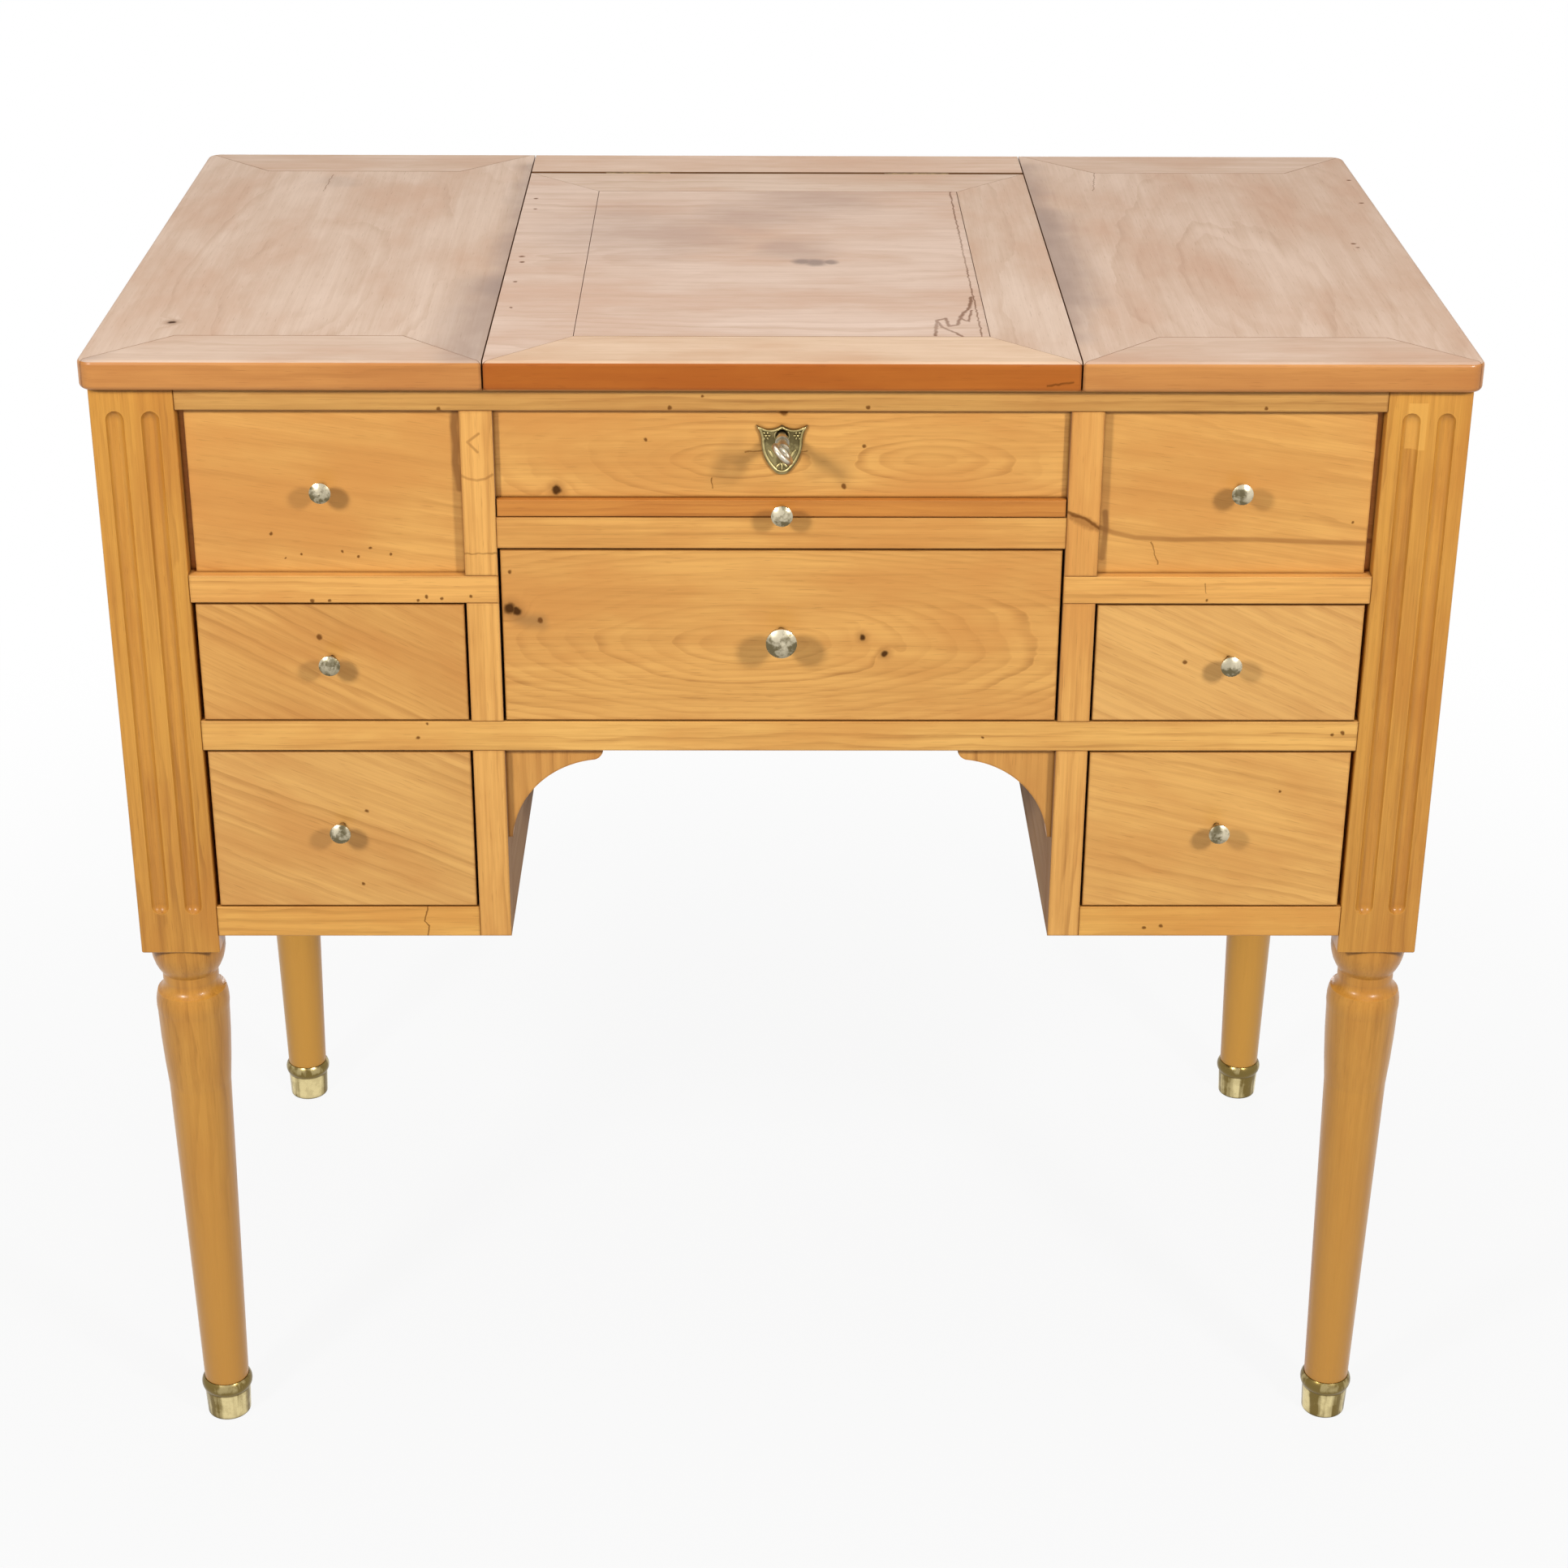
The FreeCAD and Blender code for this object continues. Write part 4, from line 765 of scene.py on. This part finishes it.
def dress_lid():
    """The joint of the left member is closed and its figure runs on from the panel."""
    low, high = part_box("lid_frame")
    centre = (low + high) / 2
    panel = wood("lid_panel", "top", X, Y, LID_SEED + 4, ovals=(centre_of("lid_panel"),),
                 marks=MARKS["lid_panel"], tint=(1.03, 1.03, 1.06), **TOP_FIGURE)
    members = {
        "side": wood("lid_sides", "top", Y, X, LID_SEED, **TOP_FIGURE),
        "end": wood("lid_ends", "top", X, Y, LID_SEED + 1, **TOP_FIGURE),
        "side_edge": wood("lid_side_edges", "lid_edge", Y, Z, LID_SEED + 2, **EDGE_FIGURE),
        "end_edge": wood("lid_end_edges", "lid_edge", X, Z, LID_SEED + 3,
                         marks=MARKS["lid_end_edges"], **EDGE_FIGURE),
        "front": wood("lid_front_member", "top", X, Y, LID_SEED + 6, tint=(1.07, 1.02, 0.91),
                      **TOP_FIGURE),
        "panel": panel,
        "side_under": wood("lid_sides_under", "top_edge", Y, X, LID_SEED + 7),
        "end_under": wood("lid_ends_under", "top_edge", X, Y, LID_SEED + 8),
    }

    def pick(middle, normal):
        from_side = min(middle.x - low.x, high.x - middle.x)
        from_end = min(middle.y - low.y, high.y - middle.y)
        member = "end" if from_end < from_side else "side"
        if looks_up(-normal):
            return f"{member}_under"
        if not looks_up(normal):
            return f"{member}_edge"
        if member == "end":
            return "front" if middle.y < centre.y else "end"
        return "panel" if middle.x < centre.x else "side"

    dress_faces("lid_frame", members, pick)
    under = wood("lid_panel_under", "top_edge", X, Y, LID_SEED + 5)
    dress_faces("lid_panel", {"top": panel, "edge": under}, top_or_edge)


def dress_flap(side, seed, tint):
    clamps = f"{side}_flap_clamps"
    leaf = f"{side}_flap_board"
    clamp_woods = {
        "top": wood(clamps, "top", X, Y, seed, tint=tint, marks=MARKS.get(clamps), **TOP_FIGURE),
        "edge": wood(f"{clamps}_edges", "top_edge", X, Z, seed + 1, **EDGE_FIGURE),
    }
    heart = centre_of(leaf) - FLAP_HEART
    leaf_woods = {
        "top": wood(leaf, "top", Y, X, seed + 2, ovals=(heart,), marks=MARKS[leaf], tint=tint,
                    **TOP_FIGURE),
        "edge": wood(f"{leaf}_edges", "top_edge", Y, Z, seed + 3, **EDGE_FIGURE),
    }
    dress_faces(clamps, clamp_woods, top_or_edge)
    dress_faces(leaf, leaf_woods, top_or_edge)


BOX_SIDE = 11 * MM


def dress_drawer_box(name, seed):
    """The sides of the box have their grain lengthwise, the boards between them crosswise."""
    box_node = f"{name}_drawer_box"
    low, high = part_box(box_node)
    woods = {
        "side": wood(f"{box_node}_sides", "inner", Y, Z, seed, BOX_RING),
        "board": wood(f"{box_node}_boards", "inner", X, Z, seed + 1, BOX_RING),
    }

    def pick(middle, normal):
        return "board" if low.x + BOX_SIDE < middle.x < high.x - BOX_SIDE else "side"

    dress_faces(box_node, woods, pick)
    dress(f"{name}_drawer_knob", KNOB_METAL)


# Metals in linear colour
SABOT_BEAD = 9.5 * MM
KNOB_METAL = metal("knob_metal", bright=(0.68, 0.60, 0.43), dull=(0.16, 0.13, 0.068),
                   rough=0.14, spots=0.75, streaks=0.3)
SABOT_BRASS = metal("sabot_brass", bright=(0.84, 0.70, 0.36), dull=(0.20, 0.140, 0.042),
                    rough=0.14, spots=0.2, streaks=0.9,
                    dull_above=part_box("leg_sabots")[1].z - SABOT_BEAD)
ESCUTCHEON_BRASS = metal("escutcheon_brass", bright=(0.56, 0.46, 0.21), dull=(0.25, 0.20, 0.08),
                         rough=0.24, spots=0.7)
ESCUTCHEON_FIELD = metal("escutcheon_field", bright=(0.32, 0.26, 0.115),
                         dull=(0.12, 0.092, 0.038), rough=0.32, spots=0.8)
# Old brass made dark: painted shade of the joints the hinges and plates sit in
SHADED_HINGE_BRASS = metal("shaded_hinge_brass", bright=(0.27, 0.185, 0.085), dull=(0.10, 0.064, 0.030),
                    rough=0.40, spots=0.85)
IRON = metal("lock_iron", bright=(0.28, 0.26, 0.23), dull=(0.12, 0.10, 0.085), rough=0.40)
# A dark sheet standing for the shade in screw slots: painted shade
SLOT_SHADE = metal("slot_shade", bright=(0.030, 0.022, 0.014), dull=(0.014, 0.010, 0.007), rough=0.70)
KEY_STEEL = metal("key_steel", bright=(0.60, 0.55, 0.43), dull=(0.26, 0.22, 0.15), rough=0.20)


def slanted(degrees):
    """A grain direction in the plane of the front, and the one across it."""
    angle = math.radians(degrees)
    along = X * math.cos(angle) + Z * math.sin(angle)
    across = Z * math.cos(angle) - X * math.sin(angle)
    return along, across


LEG_FIGURE = {"contrast": 0.50, "streaks": 1.7, "worn_edges": True}
LEG_PAINTED_LIGHT_BELOW = 0.46
LEG_DIRT_AND_SHADE_REACH = 6 * MM


def side_or_front(share):
    """Tells faces that look sideways by more than a share from the others."""
    return lambda middle, normal: "side" if abs(normal.x) > share else "front"


def dress_leg(node, seed, tint):
    """A leg post. Its flat side beside the drawers has no marks, a shorter reach of painted shade with
    dirt from its corners, and no painted light towards the floor.
    """
    woods = {
        "front": wood(node, "post", Z, X, seed, marks=MARKS.get(node), tint=tint,
                      painted_light_below=LEG_PAINTED_LIGHT_BELOW, dirt_and_shade_reach=LEG_DIRT_AND_SHADE_REACH, **LEG_FIGURE),
        "side": wood(f"{node}_side", "post", Z, Y, seed + 1, tint=tint, **LEG_FIGURE),
    }
    dress_faces(node, woods, side_or_front(LEG_SIDE_SHARE))


# The back legs are tinted lighter than the front ones: painted light
LEG_TINTS = {"front": UNTINTED, "back": (1.12, 1.18, 1.15)}
RAIL_TINTS = {
    # The top rail is tinted darker: painted shade under the overhanging top
    "top_rail": (0.75, 0.76, 0.76),
    "middle_rails": UNTINTED,
    "centre_rail": (0.93, 0.92, 0.90),
    "main_rail": (1.03, 1.10, 1.12),
    "bottom_rails": (1.05, 1.08, 0.96),
}
RAIL_FIGURE = {"ring": 7 * MM, "streaks": 1.6}
STILE_RING = 8 * MM


def dress_stiles():
    woods = {
        "front": wood("front_stiles", "frame", Z, X, 15.2, STILE_RING, marks=MARKS["front_stiles"],
                      streaks=1.5),
        # The stiles' side faces take the shade tone: painted shade
        "side": wood("front_stile_sides", "shade", Z, Y, 15.9, STILE_RING),
    }
    dress_faces("front_stiles", woods, side_or_front(STILE_SIDE_SHARE))


def dress_back_strip():
    """The strip's front face is in the shade behind the lid, and takes a darkened shade tone as painted
    shade.
    """
    woods = {
        "top": wood("top_back_strip", "top", X, Y, 25.1, tint=(1.05, 1.03, 1.02), **TOP_FIGURE),
        "edge": wood("top_back_strip_edges", "top_edge", X, Z, 26.0, **EDGE_FIGURE),
        # Painted shade: a darker tint on the shade tone
        "front": wood("top_back_strip_front", "shade", X, Z, 26.5, tint=(0.40, 0.34, 0.28)),
    }

    def pick(middle, normal):
        return "front" if normal.y < -FRONT_SHARE else top_or_edge(middle, normal)

    dress_faces("top_back_strip", woods, pick)


def dress_case():
    legs = [(end, side) for end in LEG_TINTS for side in ("left", "right")]
    for count, (end, side) in enumerate(legs):
        dress_leg(f"{end}_{side}_leg", seed_of("legs", count), LEG_TINTS[end])
    for count, (node, tint) in enumerate(RAIL_TINTS.items()):
        board(node, "frame", X, Z, seed_of("rails", count), tint=tint, **RAIL_FIGURE)
    dress_stiles()
    board("kneehole_brackets", "frame", Z, X, 16.8, ring=9 * MM, tint=(0.84, 0.80, 0.74))
    # The kneehole's sides take the shade tone: painted shade
    board("pedestal_sides", "shade", Y, Z, 18.1, ring=INNER_RING)
    board("side_rails", "frame", Y, Z, 19.4)
    board("side_panels", "frame", Y, Z, 20.3, ring=16 * MM, warp=2.2)
    board("mirror_beads", "frame", X, Y, 21.7, ring=6 * MM)
    board("false_fronts", "front", *slanted(-9), 22.5, ring=14 * MM, warp=2.4, contrast=0.34)
    board("lock_panel", "front", X, Z, 23.9, ring=4.5 * MM, warp=1.8, streaks=1.1,
          ovals=(on_front(-27, 678), on_front(86, 679)))
    dress_back_strip()
    for count, node in enumerate(("well_floors", "slide_shelf", "main_shelf", "pedestal_floors")):
        board(node, "inner", Y, X, seed_of("floors", count), ring=INNER_RING)
    for count, node in enumerate(("partitions", "drawer_guides")):
        board(node, "inner", Y, Z, seed_of("guides", count), ring=INNER_RING)
    board("back_panels", "inner", X, Z, 38.0, ring=INNER_RING)
    dress("leg_sabots", SABOT_BRASS)
    dress("false_front_knobs", KNOB_METAL)
    dress("escutcheon", ESCUTCHEON_FIELD)
    dress("key", KEY_STEEL)
    for node in ("lock_case", "lock_bolt"):
        dress(node, IRON)
    for node in ("hinge_bases", "lid_hinge_leaves", "left_flap_hinge_leaves",
                 "right_flap_hinge_leaves", "strike_plate"):
        dress(node, SHADED_HINGE_BRASS)


# Drawer fronts: slant of the grain in degrees, and tint
DRAWER_FRONTS = {
    "left_middle": (-28, (0.95, 0.94, 0.95)),
    "right_middle": (-25, (1.02, 1.08, 1.25)),
    "left_lower": (-23, (1.01, 1.06, 1.18)),
    "right_lower": (-14, (1.07, 1.12, 1.2)),
}
DRAWER_FIGURE = {"ring": 8 * MM, "warp": 1.8, "contrast": 0.50}
CENTRE_FIGURE = {"ring": 4.2 * MM, "warp": 2.2, "contrast": 0.75, "streaks": 1.1}


def dress_drawers():
    for count, (name, (slant, tint)) in enumerate(DRAWER_FRONTS.items()):
        board(f"{name}_drawer_front", "front", *slanted(slant), seed_of("drawer_fronts", count),
              tint=tint, **DRAWER_FIGURE)
        dress_drawer_box(name, seed_of("drawer_boxes", count))
    board("centre_drawer_front", "front", X, Z, 51.0, ovals=(on_front(-12, 565),), **CENTRE_FIGURE)
    dress_drawer_box("centre", 68)
    board("writing_slide", "slide", X, Z, 71.0, ring=6 * MM)
    dress("slide_knob", KNOB_METAL)


def dress_top():
    dress_lid()
    dress_flap("left", 82, UNTINTED)
    dress_flap("right", 89, (0.97, 0.95, 0.94))
    dress("mirror_glass", mirror_glass("mirror_glass"))


# Small metalwork
def add_piece(name, mesh, body, slot, *materials):
    for material in materials:
        mesh.materials.append(material)
    piece = bpy.data.objects.new(name, mesh)
    bpy.context.scene.collection.objects.link(piece)
    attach(piece, body)


SCREW_RADIUS = 2.1 * MM
SCREW_TAPER = 0.88
SCREW_PROUD = 0.08 * MM
SCREW_SEGMENTS = 20
SCREW_TURN = 1.9
SLOT_SIZE = Vector((3.3, 0.45, 0.02)) * MM
SLOT_MATERIAL = 1


def add_screw(shape, place, normal, turn):
    """A countersunk screw head, flush but for a hair, with a dark sheet for its slot as painted shade.
    """
    stand = Matrix.Translation(place) @ Z.rotation_difference(normal).to_matrix().to_4x4()
    stand = stand @ Matrix.Rotation(turn, 4, "Z")
    lift = Matrix.Translation(Z * SCREW_PROUD / 2)
    bmesh.ops.create_cone(shape, cap_ends=True, segments=SCREW_SEGMENTS, radius1=SCREW_RADIUS,
                          radius2=SCREW_RADIUS * SCREW_TAPER, depth=SCREW_PROUD, matrix=stand @ lift)
    first_slot_face = len(shape.faces)
    lift = Matrix.Translation(Z * SCREW_PROUD)
    bmesh.ops.create_cube(shape, size=1.0, matrix=stand @ lift @ Matrix.Diagonal((*SLOT_SIZE, 1.0)))
    shape.faces.ensure_lookup_table()
    for face in shape.faces[first_slot_face:]:
        face.material_index = SLOT_MATERIAL


def add_screws(name, body, slot, material, places):
    """places are (place, normal) pairs; the slots stand at different angles."""
    shape = bmesh.new()
    for count, (place, normal) in enumerate(places):
        add_screw(shape, place, normal, count * SCREW_TURN)
    mesh = bpy.data.meshes.new(name)
    shape.to_mesh(mesh)
    shape.free()
    add_piece(name, mesh, body, slot, material, SLOT_SHADE)


HINGE_HALF = 22 * MM
LEAF_GAP = 0.3 * MM
SCREW_STEP = 15 * MM
STEPS = (-SCREW_STEP, 0.0, SCREW_STEP)
LID_SCREW_RISE = 4.5 * MM
FLAP_SCREW_INSET = 5.5 * MM
LOCK_SCREW_INSET = 5 * MM


def add_hinge_screws():
    """Three screws in each hinge leaf."""
    low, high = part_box("lid_hinge_leaves")
    pin = (low.y + high.y) / 2
    z = low.z + LID_SCREW_RISE
    centres = (low.x + HINGE_HALF, high.x - HINGE_HALF)
    xs = [centre + step for centre in centres for step in STEPS]
    lid_places = [(Vector((x, pin - LEAF_GAP, z)), Y) for x in xs]
    add_screws("lid_hinge_screws", "lid", "brass", SHADED_HINGE_BRASS, lid_places)
    case_places = [(Vector((x, pin + LEAF_GAP, z)), -Y) for x in xs]
    for side, sign in (("left", -1), ("right", 1)):
        low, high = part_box(f"{side}_flap_hinge_leaves")
        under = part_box(f"{side}_flap_board")[0].z
        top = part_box("side_rails")[1].z
        x = (low.x if sign > 0 else high.x) + sign * FLAP_SCREW_INSET
        centres = (low.y + HINGE_HALF, high.y - HINGE_HALF)
        ys = [centre + step for centre in centres for step in STEPS]
        flap_places = [(Vector((x, y, under)), -Z) for y in ys]
        add_screws(f"{side}_flap_hinge_screws", f"{side}_flap", "brass", SHADED_HINGE_BRASS, flap_places)
        case_places += [(Vector((x, y, top)), Z) for y in ys]
    add_screws("case_hinge_screws", "case", "brass", SHADED_HINGE_BRASS, case_places)


def add_lock_screws():
    low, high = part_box("strike_plate")
    middle = (low + high) / 2
    xs = (low.x + LOCK_SCREW_INSET, high.x - LOCK_SCREW_INSET)
    strike_places = [(Vector((x, middle.y, low.z)), -Z) for x in xs]
    add_screws("strike_screws", "lid", "brass", SHADED_HINGE_BRASS, strike_places)
    low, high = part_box("lock_case")
    xs = (low.x + LOCK_SCREW_INSET, high.x - LOCK_SCREW_INSET)
    zs = (low.z + LOCK_SCREW_INSET, high.z - LOCK_SCREW_INSET)
    lock_places = [(Vector((x, high.y, z)), Y) for x in xs for z in zs]
    add_screws("lock_screws", "case", "iron", IRON, lock_places)


# Relief of the escutcheon
FACE_TOLERANCE = 1e-6
CORNER_DIGITS = 7


def front_outlines(node):
    """The closed outlines of a plate's front face, longest first."""
    mesh = NODES[node].data
    front = min(vertex.co.y for vertex in mesh.vertices)
    uses = {}
    for face in mesh.polygons:
        if abs(face.center.y - front) > FACE_TOLERANCE:
            continue
        corners = [tuple(round(c, CORNER_DIGITS) for c in mesh.vertices[i].co) for i in face.vertices]
        for start, end in zip(corners, corners[1:] + corners[:1]):
            uses.setdefault(frozenset((start, end)), []).append((start, end))
    following = dict(pair[0] for pair in uses.values() if len(pair) == 1)
    outlines = []
    while following:
        start, point = following.popitem()
        outline = [start]
        while point != start:
            outline.append(point)
            point = following.pop(point)
        outlines.append([Vector(corner) for corner in outline])
    return sorted(outlines, key=len, reverse=True)


BEAD_SIDES = 8


def add_bead(shape, outline, scale, radius):
    """A round bead along a closed outline, drawn in or out from its middle by a scale."""
    middle = sum(outline, Vector()) / len(outline)
    turns = [side * math.tau / BEAD_SIDES for side in range(BEAD_SIDES)]
    befores = outline[-1:] + outline[:-1]
    afters = outline[1:] + outline[:1]
    loops = []
    for before, corner, after in zip(befores, outline, afters):
        outward = (after - before).normalized().cross(Y)
        centre = middle + (corner - middle) * scale
        loops.append([shape.verts.new(centre + (outward * math.cos(turn) + Y * math.sin(turn)) * radius)
                      for turn in turns])
    for loop, following in zip(loops, loops[1:] + loops[:1]):
        for side in range(BEAD_SIDES):
            other = (side + 1) % BEAD_SIDES
            shape.faces.new((loop[side], loop[other], following[other], following[side]))


DOME_SEGMENTS = 14
DOME_RINGS = 9


def add_dome(shape, place, size, turn=0.0):
    """A flattened boss on a front face, size across, high and out in millimetres."""
    across, high, out = (length * MM for length in size)
    matrix = (Matrix.Translation(place) @ Matrix.Rotation(turn, 4, "Y")
              @ Matrix.Diagonal((across, out, high, 1.0)))
    bmesh.ops.create_uvsphere(shape, u_segments=DOME_SEGMENTS, v_segments=DOME_RINGS, radius=0.5,
                              matrix=matrix)


# Beads: scale of the outline and radius
RIM_BEAD = (0.90, 0.85 * MM)
KEYHOLE_BEAD = (1.22, 0.55 * MM)

# Rosettes, scrolls and leaves: shares of the plate's width, distances, sizes and turns
ROSETTE_SHARE = 0.31
ROSETTE_DROP = 6.2 * MM
ROSETTE_REACH = 1.9
ROSETTE_SIZE = (2.0, 2.0, 2.0)
PETALS = 6
PETAL_SIZE = (2.0, 1.5, 1.3)
SCROLL_SHARE = 0.22
SCROLL_RISE = 12.5 * MM
SCROLL_SIZE = (6.5, 1.8, 1.3)
SCROLL_TURN = -1.05
LEAF_SPREADS = (-0.75, 0.0, 0.75)
LEAF_RISE = 7.5 * MM
LEAF_REACH = 3.0
LEAF_SIZE = (1.7, 4.6, 1.4)


def add_escutcheon_relief():
    low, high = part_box("escutcheon")
    outlines = front_outlines("escutcheon")
    shape = bmesh.new()
    add_bead(shape, outlines[0], *RIM_BEAD)
    add_bead(shape, outlines[1], *KEYHOLE_BEAD)
    bmesh.ops.recalc_face_normals(shape, faces=shape.faces)
    across = high.x - low.x
    for side in (-1, 1):
        heart = Vector((side * across * ROSETTE_SHARE, low.y, high.z - ROSETTE_DROP))
        add_dome(shape, heart, ROSETTE_SIZE)
        for petal in range(PETALS):
            angle = petal * math.tau / PETALS
            reach = Vector((math.cos(angle), 0, math.sin(angle))) * ROSETTE_REACH * MM
            add_dome(shape, heart + reach, PETAL_SIZE, -angle)
        scroll = Vector((side * across * SCROLL_SHARE, low.y, low.z + SCROLL_RISE))
        add_dome(shape, scroll, SCROLL_SIZE, side * SCROLL_TURN)
    stem = Vector((0, low.y, low.z + LEAF_RISE))
    for spread in LEAF_SPREADS:
        reach = Vector((math.sin(spread), 0, -math.cos(spread))) * LEAF_REACH * MM
        add_dome(shape, stem + reach, LEAF_SIZE, -spread)
    mesh = bpy.data.meshes.new("escutcheon_relief")
    shape.to_mesh(mesh)
    shape.free()
    mesh.shade_smooth()
    add_piece("escutcheon_relief", mesh, "case", "brass", ESCUTCHEON_BRASS)


# Studio: light of the surroundings, then lamps by place, target, size and power
WORLD_LIGHT = 0.11
SOFTBOX_SIDE = 1.05
SOFTBOX_AHEAD = 1.2
SOFTBOX_HEIGHT = 1.42
SOFTBOX_SIZE = (0.22, 0.28)
FRONT_MIDDLE = Vector((0, FRONT, 0.5))
LAMPS = {
    "left_softbox": (Vector((-SOFTBOX_SIDE, FRONT - SOFTBOX_AHEAD, SOFTBOX_HEIGHT)),
                     FRONT_MIDDLE, SOFTBOX_SIZE, 21),
    "right_softbox": (Vector((SOFTBOX_SIDE, FRONT - SOFTBOX_AHEAD, SOFTBOX_HEIGHT)),
                      FRONT_MIDDLE, SOFTBOX_SIZE, 20),
    "overhead": (Vector((0, 0.2, 2.6)), Vector((0, 0, 0.5)), (2.4, 2.0), 27),
    "back_fill": (Vector((0, 2.4, 0.62)), Vector((0, 0.2, 0.5)), (1.6, 0.8), 24),
}


def add_floor():
    mesh = bpy.data.meshes.new("studio_floor")
    corners = [(x * FLOOR_HALF, y * FLOOR_HALF, 0) for x, y in ((-1, -1), (1, -1), (1, 1), (-1, 1))]
    mesh.from_pydata(corners, [], [(0, 1, 2, 3)])
    mesh.materials.append(floor_paint("studio_floor"))
    floor = bpy.data.objects.new("studio_floor", mesh)
    bpy.context.scene.collection.objects.link(floor)


def add_area_light(name, place, target, size, power):
    data = bpy.data.lights.new(name, "AREA")
    data.shape = "RECTANGLE"
    data.size, data.size_y = size
    data.energy = power
    light = bpy.data.objects.new(name, data)
    light.location = place
    light.rotation_euler = (target - place).to_track_quat("-Z", "Y").to_euler()
    bpy.context.scene.collection.objects.link(light)


def add_world():
    """White where it is seen, straight or mirrored, and dimmer as a light."""
    world = bpy.data.worlds.new("studio")
    world.use_nodes = True
    tree = world.node_tree
    path = tree.nodes.new("ShaderNodeLightPath")
    background = tree.nodes["Background"]
    background.inputs["Color"].default_value = WHITE
    shown = path.outputs["Is Camera Ray"]
    for kind in ("Is Glossy Ray", "Is Transmission Ray"):
        either = tree.nodes.new("ShaderNodeMath")
        either.operation = "MAXIMUM"
        tree.links.new(shown, either.inputs[0])
        tree.links.new(path.outputs[kind], either.inputs[1])
        shown = either.outputs[0]
    strength = tree.nodes.new("ShaderNodeMapRange")
    strength.inputs["To Min"].default_value = WORLD_LIGHT
    tree.links.new(shown, strength.inputs["Value"])
    tree.links.new(strength.outputs[0], background.inputs["Strength"])
    bpy.context.scene.world = world


def add_studio():
    add_floor()
    for name, lamp in LAMPS.items():
        add_area_light(name, *lamp)
    add_world()
    bpy.context.scene.view_settings.view_transform = "Standard"


def add_camera():
    """The camera's view is level, then turned, tilted and rolled."""
    data = bpy.data.cameras.new("camera")
    data.sensor_width = SENSOR_WIDTH
    data.lens = LENS
    camera = bpy.data.objects.new("camera", data)
    level = Matrix(((1, 0, 0), (0, 0, -1), (0, 1, 0)))
    to_view = (Matrix.Rotation(CAMERA_ROLL, 3, "Z") @ Matrix.Rotation(CAMERA_PITCH, 3, "X") @ level
               @ Matrix.Rotation(CAMERA_YAW, 3, "Z"))
    flip = Matrix(((1, 0, 0), (0, -1, 0), (0, 0, -1)))
    camera.matrix_world = Matrix.Translation(CAMERA_PLACE) @ (to_view.transposed() @ flip).to_4x4()
    bpy.context.scene.collection.objects.link(camera)
    bpy.context.scene.camera = camera


dress_case()
dress_drawers()
dress_top()
add_hinge_screws()
add_lock_screws()
add_escutcheon_relief()
add_studio()
add_camera()
